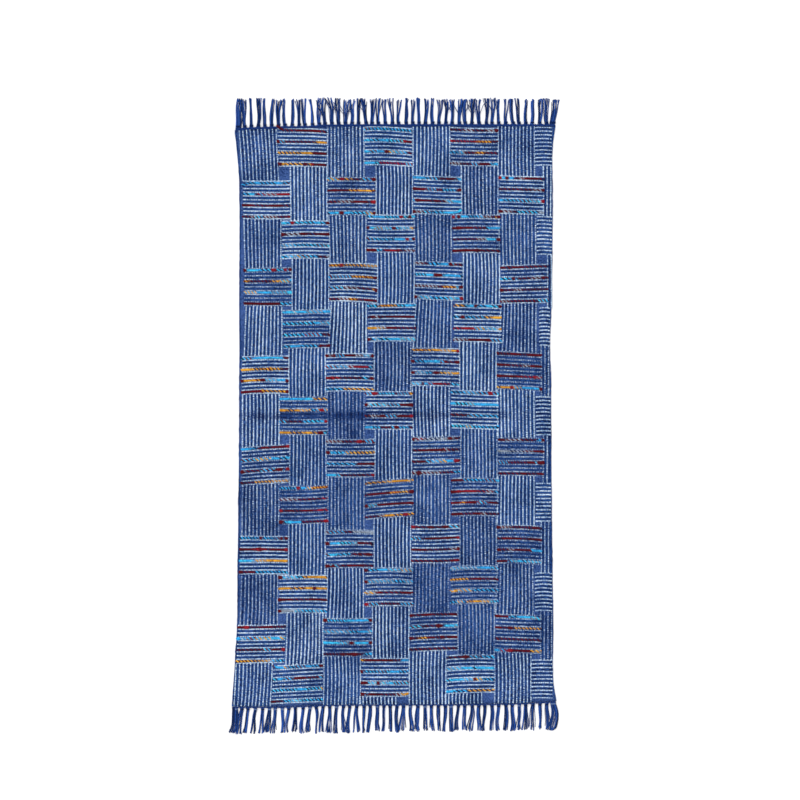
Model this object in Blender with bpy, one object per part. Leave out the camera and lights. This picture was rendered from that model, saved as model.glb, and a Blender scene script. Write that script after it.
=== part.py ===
"""Flatweave cotton rug: one woven field and its two knotted fringes.

The rug lies flat, face up, with its underside at z = 0. +X is across the rug, +Y is along it
towards the far fringe, and +Z points up. The origin is under the middle of the whole rug.
Tables are in millimetres, and everything else is in metres.
"""
import random
from typing import NamedTuple

import bmesh
import bpy
from mathutils import Vector
from mathutils.geometry import delaunay_2d_cdt

MM = 0.001

# Looks: linear colours and roughness
CLOTH_COLOUR = (0.087, 0.136, 0.28)
YARN_COLOUR = (0.016, 0.046, 0.18)
COTTON_ROUGHNESS = 0.9

# Whole rug, fringes and splayed corner tassels included
SPAN_ACROSS = 738 * MM
SPAN_ALONG = 1425 * MM

# Woven field
CLOTH_THICKNESS = 3.5 * MM
SIDE_POINTS = 34
END_POINTS = 72

# Striped blocks: the lying ones carry the raised yarns
BLOCK_WIDTH = 108 * MM
BLOCK_PITCH = 191.7 * MM
ODD_BAND_START = -258 * MM
EVEN_BAND_START = -344.5 * MM
SELVEDGE_WIDTH = 3 * MM

# The weave draws in towards the right selvedge, from one place on over one reach
DRAW_IN_START = 240 * MM
DRAW_IN_REACH = 100 * MM

# Raised yarns of a lying block
YARNS_PER_BLOCK = 4
YARN_PITCH = 25.1 * MM
FIRST_YARN_DROP = 5.2 * MM
YARN_WIDTH = 5.8 * MM
YARN_RISE = 1.5 * MM
YARN_CROWN_SHARE = 0.45
YARN_END_SLOPE = 3 * MM
FILL_TOLERANCE = 1e-7

# Header strip and knots of a fringe
FIELD_GAP = 0.3 * MM
STRIP_INNER = 2 * MM
STRIP_OUTER = 2.2 * MM
STRIP_HEIGHT = 3.4 * MM
KNOT_OUTER = 6.5 * MM
KNOT_HEIGHT = 4.6 * MM
KNOT_WIDTH = 6 * MM
KNOT_SLOPE = 1.4 * MM
CORNER_KNOT_WIDTH = 12 * MM

# Tassels and their locks of yarn
TASSELS_PER_END = 48
TASSEL_JITTER = 1.3 * MM
TASSEL_SPREAD = (5.5 * MM, 9 * MM)
CORNER_SPREAD = 12 * MM
STRAIGHT_CORNER_LEAN = 3 * MM
CORNER_LOCKS = 4
TASSEL_LEAN = 2.5 * MM
NEAR_LEFT_LEAN = 6 * MM
TWO_LOCK_SHARE = 0.45
LOCK_GAP = 0.5 * MM
LOCK_LEVELS = (0.3, 0.65, 1.0)
LOCK_WIDTHS = (1.0, 0.85, 0.7)
LOCK_HEIGHTS = (2.4 * MM, 2.0 * MM, 1.3 * MM)
LOCK_CROWN_SHARE = 0.7
LOCK_WANDER = 0.9 * MM
LOCK_SHORTFALL = 5.5 * MM
NEAR_RIGHT_SHORTFALL = 6 * MM
FRINGE_SEED = 27


class EdgeStation(NamedTuple):
    """Where the two selvedges run at one place along the rug, in millimetres."""
    along: float
    left: float
    right: float


class HemStation(NamedTuple):
    """How far along the rug the two header lines run at one place across it, in millimetres."""
    across: float
    near: float
    far: float


class Band(NamedTuple):
    """One band of blocks: its shift, its lying tops and its drawing in at the right, in millimetres."""
    shift: float
    top_1: float
    top_2: float
    top_3: float
    top_4: float
    draw_in: float


EDGE_STATIONS = (
    EdgeStation(-656, -364, 366.5),
    EdgeStation(-624, -362, 360),
    EdgeStation(-584, -358.5, 355),
    EdgeStation(-530, -355.5, 355.5),
    EdgeStation(-476, -351.5, 356.5),
    EdgeStation(-369, -351, 354.5),
    EdgeStation(-221, -349, 353),
    EdgeStation(-60, -347.5, 351.5),
    EdgeStation(88, -347, 351),
    EdgeStation(155, -346.5, 348),
    EdgeStation(209, -347, 351),
    EdgeStation(276, -347, 352.5),
    EdgeStation(411, -346, 354.5),
    EdgeStation(545, -347.5, 354),
    EdgeStation(572, -350.5, 353.5),
    EdgeStation(626, -355.5, 357),
    EdgeStation(652, -357.5, 361.5),
)

HEM_STATIONS = (
    HemStation(-366, -654, 641.5),
    HemStation(-267, -654.5, 646),
    HemStation(-200, -652.5, 647),
    HemStation(-150, -650, 650),
    HemStation(0, -649, 651),
    HemStation(190, -648.5, 651),
    HemStation(280, -646.5, 651),
    HemStation(340, -643.5, 651),
    HemStation(366, -641, 651.5),
)

# Bands run from the far end to the near end, and odd ones hold three whole blocks
BANDS = (
    Band(-1, 642, 644, 644, 644.5, 7),
    Band(3, 525.5, 533, 535.5, 535.5, 6),
    Band(4.5, 435, 450.5, 448.5, 444.5, 7),
    Band(6.5, 330.5, 339, 343.5, 337, 0),
    Band(7, 236, 250.5, 249.5, 241, 2),
    Band(-1, 132.5, 138.5, 150.5, 141.5, 7),
    Band(0.5, 42, 54, 55.5, 41, 5),
    Band(1, -68, -53, -47, -50, 4),
    Band(1.5, -156.5, -144, -141, -152.5, 7),
    Band(-1, -270, -256.5, -244, -247, 7),
    Band(0, -357.5, -342.5, -337, -353.5, 7),
    Band(-5, -469, -453.5, -442, -446, 4.5),
    Band(-9, -558, -543, -536.5, -547.5, 7),
)

# How much farther along the rug a block's right end lies than its left: (band, place) to millimetres
TILTED_BLOCKS = {
    (1, 1): -3, (1, 2): -4, (1, 3): -3, (2, 3): -4, (2, 4): -3, (4, 2): -3, (4, 3): -4.5, (4, 4): 3,
    (5, 1): 2, (5, 3): -2.5, (6, 1): 2.5, (6, 3): -2, (6, 4): -5, (7, 3): -3.5, (8, 1): 7, (8, 3): 2,
    (8, 4): -2, (9, 1): 3, (9, 2): 8, (10, 3): 2, (10, 4): -3, (11, 3): 2, (12, 1): 2, (12, 3): 3.5,
    (12, 4): -4.5, (13, 1): 6.5, (13, 3): 2.5,
}


def clear_scene():
    """Remove every object that the opened file holds."""
    for item in list(bpy.data.objects):
        bpy.data.objects.remove(item, do_unlink=True)


def make_material(name, colour, roughness):
    """Make a plain cloth material."""
    material = bpy.data.materials.new(name)
    material.use_nodes = True
    shader = material.node_tree.nodes["Principled BSDF"]
    shader.inputs["Base Color"].default_value = (*colour, 1.0)
    shader.inputs["Roughness"].default_value = roughness
    shader.inputs["Metallic"].default_value = 0.0
    return material


def add_node(name, mesh, material):
    """Put a finished mesh in the scene under the node's name."""
    mesh.materials.append(material)
    bpy.context.scene.collection.objects.link(bpy.data.objects.new(name, mesh))


def read_curve(points, at):
    """Read a smooth curve through (place, value) points, held level past its two ends."""
    at = min(max(at, points[0][0]), points[-1][0])
    step = next(i for i in range(len(points) - 1) if at <= points[i + 1][0])
    (start, low), (end, high) = points[step], points[step + 1]
    slopes = []
    for index in (step, step + 1):
        before = points[max(index - 1, 0)]
        after = points[min(index + 1, len(points) - 1)]
        slopes.append((after[1] - before[1]) / (after[0] - before[0]))
    span = end - start
    share = (at - start) / span
    rise = share * share * (3 - 2 * share)
    leave = share * (1 - share) * (1 - share) * span
    arrive = share * share * (share - 1) * span
    return low + (high - low) * rise + slopes[0] * leave + slopes[1] * arrive


def left_edge(along):
    """Give the left selvedge's place across the rug."""
    return read_curve([(row.along * MM, row.left * MM) for row in EDGE_STATIONS], along)


def right_edge(along):
    """Give the right selvedge's place across the rug."""
    return read_curve([(row.along * MM, row.right * MM) for row in EDGE_STATIONS], along)


def header_line(side, across):
    """Give the header line's place along the rug, at the far (1) or near (-1) end."""
    rows = [(row.across * MM, (row.far if side > 0 else row.near) * MM) for row in HEM_STATIONS]
    return read_curve(rows, across)


def even_steps(start, end, count):
    """Give count values from start towards end, without end itself."""
    return [start + (end - start) * index / count for index in range(count)]


def field_outline():
    """Give the field's outline, anticlockwise from above, a little inside the header strips."""
    inset = STRIP_INNER + FIELD_GAP
    ends = {}
    for side in (-1, 1):
        left = left_edge(header_line(side, left_edge(side * SPAN_ALONG / 2)))
        right = right_edge(header_line(side, right_edge(side * SPAN_ALONG / 2)))
        ends[side] = (left, right)

    def end_point(side, across):
        return (across, header_line(side, across) - side * inset)

    near_left, near_right = (end_point(-1, across) for across in ends[-1])
    far_left, far_right = (end_point(1, across) for across in ends[1])
    outline = [end_point(-1, across) for across in even_steps(near_left[0], near_right[0], END_POINTS)]
    outline += [near_right]
    outline += [(right_edge(y), y) for y in even_steps(near_right[1], far_right[1], SIDE_POINTS)[1:]]
    outline += [end_point(1, across) for across in even_steps(far_right[0], far_left[0], END_POINTS)]
    outline += [far_left]
    outline += [(left_edge(y), y) for y in even_steps(far_left[1], near_left[1], SIDE_POINTS)[1:]]
    return outline


def drawn_in(across, band):
    """Draw a place of a band's weave in towards the middle, the more the nearer the right selvedge."""
    share = max(0.0, across - DRAW_IN_START) / DRAW_IN_REACH
    return across - band.draw_in * MM * share * share


def lying_blocks():
    """Give each lying block's left end, right end, far edge at its middle, and tilt."""
    blocks = []
    for number, band in enumerate(BANDS, start=1):
        is_odd = number % 2 == 1
        start = ODD_BAND_START if is_odd else EVEN_BAND_START
        tops = [band.top_1, band.top_2, band.top_3]
        if not is_odd:
            tops.append(band.top_4)
        for place, top in enumerate(tops, start=1):
            left = start + band.shift * MM + (place - 1) * BLOCK_PITCH
            right = drawn_in(left + BLOCK_WIDTH, band)
            left = max(left, left_edge(top * MM) + SELVEDGE_WIDTH)
            tilt = TILTED_BLOCKS.get((number, place), 0) * MM
            blocks.append((left, right, top * MM, tilt))
    return blocks


def yarn_rib(left, right, left_y, right_y):
    """Give a raised yarn's foot and crown loops as points, anticlockwise from above."""
    half_foot = YARN_WIDTH / 2
    half_crown = half_foot * YARN_CROWN_SHARE
    climb = (right_y - left_y) / (right - left)
    loops = []
    for half_width, inset, height in ((half_foot, 0, 0), (half_crown, YARN_END_SLOPE, YARN_RISE)):
        x_ends = (left + inset, right - inset)
        y_ends = [left_y + (x - left) * climb for x in x_ends]
        loops.append([
            (x_ends[0], y_ends[0] - half_width, height),
            (x_ends[1], y_ends[1] - half_width, height),
            (x_ends[1], y_ends[1] + half_width, height),
            (x_ends[0], y_ends[0] + half_width, height),
        ])
    return loops


def is_inside(x, y, outline):
    """Say whether a point of the plan lies inside a closed outline, by counting crossings."""
    inside = False
    for (x_1, y_1, _), (x_2, y_2, _) in zip(outline, outline[1:] + outline[:1]):
        if (y_1 > y) != (y_2 > y) and x < x_1 + (x_2 - x_1) * (y - y_1) / (y_2 - y_1):
            inside = not inside
    return inside


def fill_loops(loops):
    """Fill the first closed loop of (x, y, z) points with triangles, keeping the loops inside it."""
    points = [point for loop in loops for point in loop]
    edges = []
    start = 0
    for loop in loops:
        count = len(loop)
        edges += [(start + index, start + (index + 1) % count) for index in range(count)]
        start += count
    flat = [Vector((x, y)) for x, y, _ in points]
    _, _, triangles, sources, _, _ = delaunay_2d_cdt(flat, edges, [], 0, FILL_TOLERANCE, True)
    faces = []
    for triangle in triangles:
        face = [sources[corner][0] for corner in triangle]
        middle_x = sum(points[corner][0] for corner in face) / 3
        middle_y = sum(points[corner][1] for corner in face) / 3
        if is_inside(middle_x, middle_y, loops[0]):
            faces.append(face)
    return points, faces


def build_field():
    """Build the woven field with its raised yarns as one closed solid."""
    outline = field_outline()
    top_loops = [[(x, y, CLOTH_THICKNESS) for x, y in outline]]
    for left, right, top, tilt in lying_blocks():
        for index in range(YARNS_PER_BLOCK):
            y = top - FIRST_YARN_DROP - index * YARN_PITCH
            for loop in yarn_rib(left, right, y - tilt / 2, y + tilt / 2):
                top_loops.append([(px, py, CLOTH_THICKNESS + rise) for px, py, rise in loop])
    top_points, top_faces = fill_loops(top_loops)
    bottom_points, bottom_faces = fill_loops([[(x, y, 0.0) for x, y in outline]])

    form = bmesh.new()
    top = [form.verts.new(point) for point in top_points]
    bottom = [form.verts.new(point) for point in bottom_points]
    for face in top_faces:
        form.faces.new([top[corner] for corner in face])
    for face in bottom_faces:
        form.faces.new([bottom[corner] for corner in reversed(face)])
    count = len(outline)
    for index in range(count):
        after = (index + 1) % count
        form.faces.new((bottom[index], bottom[after], top[after], top[index]))
    return finish_solid(form, "field")


def finish_solid(form, name):
    """Turn the faces of a closed form outwards and give its mesh."""
    bmesh.ops.recalc_face_normals(form, faces=form.faces)
    mesh = bpy.data.meshes.new(name)
    form.to_mesh(mesh)
    form.free()
    return mesh


def tassel_plan(side, rng):
    """Place the tassels of one end: knot centre, knot width, lock count, lean and spread of each."""
    left = left_edge(header_line(side, -SPAN_ACROSS / 2))
    right = right_edge(header_line(side, SPAN_ACROSS / 2))
    first = left + CORNER_KNOT_WIDTH / 2 + KNOT_SLOPE
    last = right - CORNER_KNOT_WIDTH / 2 - KNOT_SLOPE
    tassels = []
    for index in range(TASSELS_PER_END):
        share = index / (TASSELS_PER_END - 1)
        centre = first + (last - first) * share
        if index in (0, TASSELS_PER_END - 1):
            outer = -1 if index == 0 else 1
            lean = corner_lean(side, outer, centre)
            tassels.append((centre, CORNER_KNOT_WIDTH, CORNER_LOCKS, lean, CORNER_SPREAD))
            continue
        centre += rng.uniform(-TASSEL_JITTER, TASSEL_JITTER)
        lean = rng.uniform(-TASSEL_LEAN, TASSEL_LEAN)
        if side < 0:
            lean -= NEAR_LEFT_LEAN * max(0.0, 1 - 2 * share)
        locks = 2 if rng.random() < TWO_LOCK_SHARE else 3
        tassels.append((centre, KNOT_WIDTH, locks, lean, rng.uniform(*TASSEL_SPREAD)))
    return tassels


def corner_lean(side, outer, centre):
    """Give a corner tassel's lean: two of them splay to the full width, and two hang straight."""
    if side * outer > 0:
        return outer * (SPAN_ACROSS / 2 - CORNER_SPREAD / 2) - centre
    return -outer * STRAIGHT_CORNER_LEAN


def lock_paths(side, tassels, rng):
    """Give each lock's root edges, (centre, width) at each level and shortfall, clear of the others."""
    locks = []
    for number, (centre, knot_width, count, lean, spread) in enumerate(tassels):
        slant = NEAR_RIGHT_SHORTFALL * number / TASSELS_PER_END if side < 0 else 0.0
        root_width = (knot_width - (count - 1) * LOCK_GAP) / count
        tip_width = root_width * LOCK_WIDTHS[-1]
        for index in range(count):
            root = centre - knot_width / 2 + root_width / 2 + index * (root_width + LOCK_GAP)
            fan = (index / (count - 1) - 0.5) * (spread - tip_width)
            tip = centre + lean + fan
            levels = []
            for level, width_share in zip(LOCK_LEVELS, LOCK_WIDTHS):
                wander = rng.uniform(-LOCK_WANDER, LOCK_WANDER) if level < 1 else 0.0
                levels.append([root + (tip - root) * level + wander, root_width * width_share])
            locks.append({
                "root": (root - root_width / 2, root + root_width / 2),
                "levels": levels,
                "shortfall": slant + rng.uniform(0, LOCK_SHORTFALL),
            })
    locks[len(locks) // 3]["shortfall"] = 0.0
    for level in range(len(LOCK_LEVELS)):
        for order in (range(1, len(locks)), range(len(locks) - 1, 0, -1)):
            for index in order:
                part_neighbours(locks[index - 1]["levels"][level], locks[index]["levels"][level])
    return locks


def part_neighbours(before, after):
    """Push two neighbouring lock sections apart where they come closer than the lock gap."""
    short = (before[1] + after[1]) / 2 + LOCK_GAP - (after[0] - before[0])
    if short > 0:
        before[0] -= short / 2
        after[0] += short / 2


def strip_sections(tassels, locks):
    """Give the header strip's sections as (across, outer reach, height), and which spans are locks."""
    first = tassels[0][0] - tassels[0][1] / 2 - KNOT_SLOPE
    last = tassels[-1][0] + tassels[-1][1] / 2 + KNOT_SLOPE
    sections = []
    lock_spans = {}
    lock_index = 0
    for centre, width, count, _, _ in tassels:
        foot_left = max(centre - width / 2 - KNOT_SLOPE, first)
        foot_right = min(centre + width / 2 + KNOT_SLOPE, last)
        sections.append((foot_left, STRIP_OUTER, STRIP_HEIGHT))
        for _ in range(count):
            left, right = locks[lock_index]["root"]
            lock_spans[len(sections)] = lock_index
            sections.append((left, KNOT_OUTER, KNOT_HEIGHT))
            sections.append((right, KNOT_OUTER, KNOT_HEIGHT))
            lock_index += 1
        sections.append((foot_right, STRIP_OUTER, STRIP_HEIGHT))
    return sections, lock_spans


def build_fringe(side, name):
    """Build one end's header strip, knots and locks as one closed solid, resting on z = 0."""
    rng = random.Random(FRINGE_SEED + side)
    tassels = tassel_plan(side, rng)
    locks = lock_paths(side, tassels, rng)
    sections, lock_spans = strip_sections(tassels, locks)
    form = bmesh.new()

    def put(across, outward, height):
        return form.verts.new((across, header_line(side, across) + side * outward, height))

    rings = []
    for across, outer, height in sections:
        rings.append((
            put(across, -STRIP_INNER, 0.0),
            put(across, -STRIP_INNER, STRIP_HEIGHT),
            put(across, outer, height),
            put(across, outer, 0.0),
        ))
    for index, (ring, following) in enumerate(zip(rings, rings[1:])):
        for corner in range(4):
            after = (corner + 1) % 4
            if corner == 2 and index in lock_spans:
                continue
            form.faces.new((ring[corner], ring[after], following[after], following[corner]))
        if index in lock_spans:
            grow_lock(form, side, ring, following, locks[lock_spans[index]])
    form.faces.new(rings[0])
    form.faces.new(reversed(rings[-1]))
    return finish_solid(form, name)


def grow_lock(form, side, ring, following, lock):
    """Grow one four-sided lock of yarn from a knot's outer face to its tip on the floor."""
    root_y = header_line(side, lock["levels"][0][0]) + side * KNOT_OUTER
    reach = SPAN_ALONG / 2 - abs(root_y)
    own_share = 1 - lock["shortfall"] / reach
    last = [ring[2], following[2], following[3], ring[3]]
    centre_before = sum(lock["root"]) / 2
    level_before = 0.0
    for level, height, (centre, width) in zip(LOCK_LEVELS, LOCK_HEIGHTS, lock["levels"]):
        end = min(level, own_share)
        cut = (end - level_before) / (level - level_before)
        across = centre_before + (centre - centre_before) * cut
        y = root_y + side * reach * end
        crown = width * LOCK_CROWN_SHARE / 2
        section = [
            form.verts.new((across - crown, y, height)),
            form.verts.new((across + crown, y, height)),
            form.verts.new((across + width / 2, y, 0.0)),
            form.verts.new((across - width / 2, y, 0.0)),
        ]
        for corner in range(4):
            after = (corner + 1) % 4
            form.faces.new((last[corner], last[after], section[after], section[corner]))
        last = section
        centre_before = centre
        level_before = level
    form.faces.new(last)


def main():
    """Build the rug's three pieces."""
    clear_scene()
    cloth = make_material("woven_cloth", CLOTH_COLOUR, COTTON_ROUGHNESS)
    far_yarn = make_material("far_yarn", YARN_COLOUR, COTTON_ROUGHNESS)
    near_yarn = make_material("near_yarn", YARN_COLOUR, COTTON_ROUGHNESS)
    add_node("field", build_field(), cloth)
    add_node("fringe_far", build_fringe(1, "fringe_far"), far_yarn)
    add_node("fringe_near", build_fringe(-1, "fringe_near"), near_yarn)


main()
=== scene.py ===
"""Looks of a flatweave cotton rug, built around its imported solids.

The woven field, its stripes, the thick twisted yarns, the twined headers and the knotted
fringes are classes that hold their own sizes and build and dress their own pieces.
Sizes are in metres, apart from the band table, which is in millimetres.
"""
import logging
import math
import random
from dataclasses import dataclass, field
from enum import Enum
from typing import Callable, NamedTuple, Sequence

import bpy
import numpy as np
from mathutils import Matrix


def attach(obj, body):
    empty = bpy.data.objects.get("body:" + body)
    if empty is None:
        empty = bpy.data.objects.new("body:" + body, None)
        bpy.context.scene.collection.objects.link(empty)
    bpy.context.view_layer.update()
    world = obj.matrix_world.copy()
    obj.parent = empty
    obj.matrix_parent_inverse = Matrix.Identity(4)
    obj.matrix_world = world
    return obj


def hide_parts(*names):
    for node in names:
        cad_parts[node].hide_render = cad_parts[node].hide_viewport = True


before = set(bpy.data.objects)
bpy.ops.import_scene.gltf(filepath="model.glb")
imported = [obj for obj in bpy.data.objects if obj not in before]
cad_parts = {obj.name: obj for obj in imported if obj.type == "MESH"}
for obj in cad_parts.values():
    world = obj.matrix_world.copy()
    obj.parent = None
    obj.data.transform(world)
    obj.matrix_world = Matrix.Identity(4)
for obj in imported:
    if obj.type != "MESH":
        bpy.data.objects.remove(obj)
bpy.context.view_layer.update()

MM = 0.001
ROOT_BODY = "root"

# The rug was folded in half: the fold's soft trough across its middle, and how the painted shade along it
# wanders
CREASE_HALF = 9 * MM
CREASE_DEPTH = 0.4 * MM
CREASE_WANDER = 3 * MM

# Every whole block has eleven off-white lines, and thick yarns cover four of the gaps of a lying one
LINES = 11
GAPS = LINES - 1
YARN_GAPS = (0, 3, 6, 9)
LYING_PITCH = 8.4 * MM

Point = tuple[float, float]
Colour = tuple[float, float, float]
Socket = bpy.types.NodeSocket
Edge = Callable[[float], float]

log = logging.getLogger("rug")


class End(Enum):
    """The two fringed ends of the rug, with the direction in which each fringe points."""
    FAR = 1
    NEAR = -1


class Lay(Enum):
    """How the stripes of a block run."""
    LYING = "across"
    STANDING = "along"


class Band(NamedTuple):
    """One band of blocks: its shift, its lying tops and its drawing in at the right, in millimetres."""
    shift: float
    top_1: float
    top_2: float
    top_3: float
    top_4: float
    draw_in: float


# Bands run from the far end to the near end, and odd ones end in a cut block at the right
BANDS = (
    Band(-1, 642, 644, 644, 644.5, 7),
    Band(3, 525.5, 533, 535.5, 535.5, 6),
    Band(4.5, 435, 450.5, 448.5, 444.5, 7),
    Band(6.5, 330.5, 339, 343.5, 337, 0),
    Band(7, 236, 250.5, 249.5, 241, 2),
    Band(-1, 132.5, 138.5, 150.5, 141.5, 7),
    Band(0.5, 42, 54, 55.5, 41, 5),
    Band(1, -68, -53, -47, -50, 4),
    Band(1.5, -156.5, -144, -141, -152.5, 7),
    Band(-1, -270, -256.5, -244, -247, 7),
    Band(0, -357.5, -342.5, -337, -353.5, 7),
    Band(-5, -469, -453.5, -442, -446, 4.5),
    Band(-9, -558, -543, -536.5, -547.5, 7),
)

# How much farther along the rug a block's right end lies than its left: (band, place) to millimetres
TILTED_BLOCKS = {
    (1, 1): -3, (1, 2): -4, (1, 3): -3, (2, 3): -4, (2, 4): -3, (4, 2): -3, (4, 3): -4.5, (4, 4): 3,
    (5, 1): 2, (5, 3): -2.5, (6, 1): 2.5, (6, 3): -2, (6, 4): -5, (7, 3): -3.5, (8, 1): 7, (8, 3): 2,
    (8, 4): -2, (9, 1): 3, (9, 2): 8, (10, 3): 2, (10, 4): -3, (11, 3): 2, (12, 1): 2, (12, 3): 3.5,
    (12, 4): -4.5, (13, 1): 6.5, (13, 3): 2.5,
}


class Graph:
    """A node tree that is filled with short, typed calls."""

    def __init__(self, tree: bpy.types.NodeTree) -> None:
        """Hold the tree.

        Args:
            tree: the shader or geometry tree to fill.
        """
        self.tree = tree

    def add(
        self, kind: str, inputs: dict[str | int, object] | None = None, **settings: object,
    ) -> bpy.types.Node:
        """Add a node.

        Args:
            kind: the node's Blender type.
            inputs: socket names or numbers, each with a value or the socket that feeds it.
            settings: the node's own properties.

        Returns:
            The new node.
        """
        node = self.tree.nodes.new(kind)
        for name, value in settings.items():
            setattr(node, name, value)
        for key, value in (inputs or {}).items():
            self.feed(node.inputs[key], value)
        return node

    def feed(self, socket: Socket, value: object) -> None:
        """Give a socket its value.

        Args:
            socket: the input socket.
            value: a plain value, or the output socket to link.
        """
        if isinstance(value, bpy.types.NodeSocket):
            self.tree.links.new(value, socket)
        else:
            socket.default_value = value

    def math(self, operation: str, *values: object) -> Socket:
        """Add a Math node and return its result."""
        return self.add("ShaderNodeMath", dict(enumerate(values)), operation=operation).outputs[0]

    def product(self, first: object, *others: object) -> Socket:
        """Multiply two or more numbers."""
        for other in others:
            first = self.math("MULTIPLY", first, other)
        return first

    def parts(self, vector: Socket) -> Sequence[Socket]:
        """Split a vector in its three numbers."""
        return self.add("ShaderNodeSeparateXYZ", {0: vector}).outputs

    def joined(self, x: object, y: object, z: object) -> Socket:
        """Join three numbers in a vector."""
        return self.add("ShaderNodeCombineXYZ", {0: x, 1: y, 2: z}).outputs[0]

    def placed(self, tree: bpy.types.NodeTree, inputs: dict[str, object]) -> bpy.types.Node:
        """Place a shader group with its own values."""
        node = self.add("ShaderNodeGroup", node_tree=tree)
        for label, value in inputs.items():
            self.feed(node.inputs[label], value)
        return node

    def vector_math(self, operation: str, *values: object) -> Socket:
        """Add a Vector Math node and return its vector."""
        return self.add("ShaderNodeVectorMath", dict(enumerate(values)), operation=operation).outputs[0]

    def scaled(self, vector: object, factor: object) -> Socket:
        """Scale a vector by a number."""
        node = self.add("ShaderNodeVectorMath", {0: vector, "Scale": factor}, operation="SCALE")
        return node.outputs[0]

    def span(
        self, value: object, low: float, high: float, to_low: float = 0.0, to_high: float = 1.0,
    ) -> Socket:
        """Map a number from one span to another and hold it there.

        Args:
            value: the number.
            low: the number that becomes to_low.
            high: the number that becomes to_high.
            to_low: the result at low.
            to_high: the result at high.

        Returns:
            The mapped number's socket.
        """
        node = self.add("ShaderNodeMapRange", {0: value, 1: low, 2: high, 3: to_low, 4: to_high}, clamp=True)
        return node.outputs[0]

    def noise(self, vector: Socket, scale: object, detail: float = 2.0, rough: float = 0.5) -> bpy.types.Node:
        """Add a noise texture on a vector and return the node."""
        inputs = {"Vector": vector, "Scale": scale, "Detail": detail, "Roughness": rough}
        return self.add("ShaderNodeTexNoise", inputs)

    def blend(self, factor: object, first: object, second: object, mode: str = "MIX") -> Socket:
        """Mix two colours.

        Args:
            factor: 0 gives the first colour and 1 the second.
            first: a colour or a socket.
            second: a colour or a socket.
            mode: the blend type.

        Returns:
            The mixed colour's socket.
        """
        node = self.add("ShaderNodeMix", data_type="RGBA", blend_type=mode)
        self.feed(node.inputs[0], factor)
        for socket, colour in ((node.inputs[6], first), (node.inputs[7], second)):
            self.feed(socket, (*colour, 1.0) if isinstance(colour, tuple) and len(colour) == 3 else colour)
        return node.outputs[2]


def new_shader_group(name: str, inputs: dict[str, str], outputs: dict[str, str]) -> tuple[Graph, dict, dict]:
    """Start a shader node group with named inputs and outputs.

    Args:
        name: the group's name.
        inputs: each input's name with its kind, such as Float or Vector.
        outputs: each output's name with its kind.

    Returns:
        The group's graph, its input values by name, and its output sockets by name.
    """
    tree = bpy.data.node_groups.new(name, "ShaderNodeTree")
    for label, kind in inputs.items():
        tree.interface.new_socket(label, in_out="INPUT", socket_type=f"NodeSocket{kind}")
    for label, kind in outputs.items():
        tree.interface.new_socket(label, in_out="OUTPUT", socket_type=f"NodeSocket{kind}")
    graph = Graph(tree)
    given = graph.add("NodeGroupInput").outputs
    result = graph.add("NodeGroupOutput").inputs
    return graph, {label: given[label] for label in inputs}, {label: result[label] for label in outputs}


def fold_bell(graph: Graph, along: Socket) -> Socket:
    """Give how deep in the fold's trough a place along the rug lies, from 0 to 1."""
    away = graph.math("DIVIDE", along, CREASE_HALF)
    return graph.math("EXPONENT", graph.product(away, away, -1.0))


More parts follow.
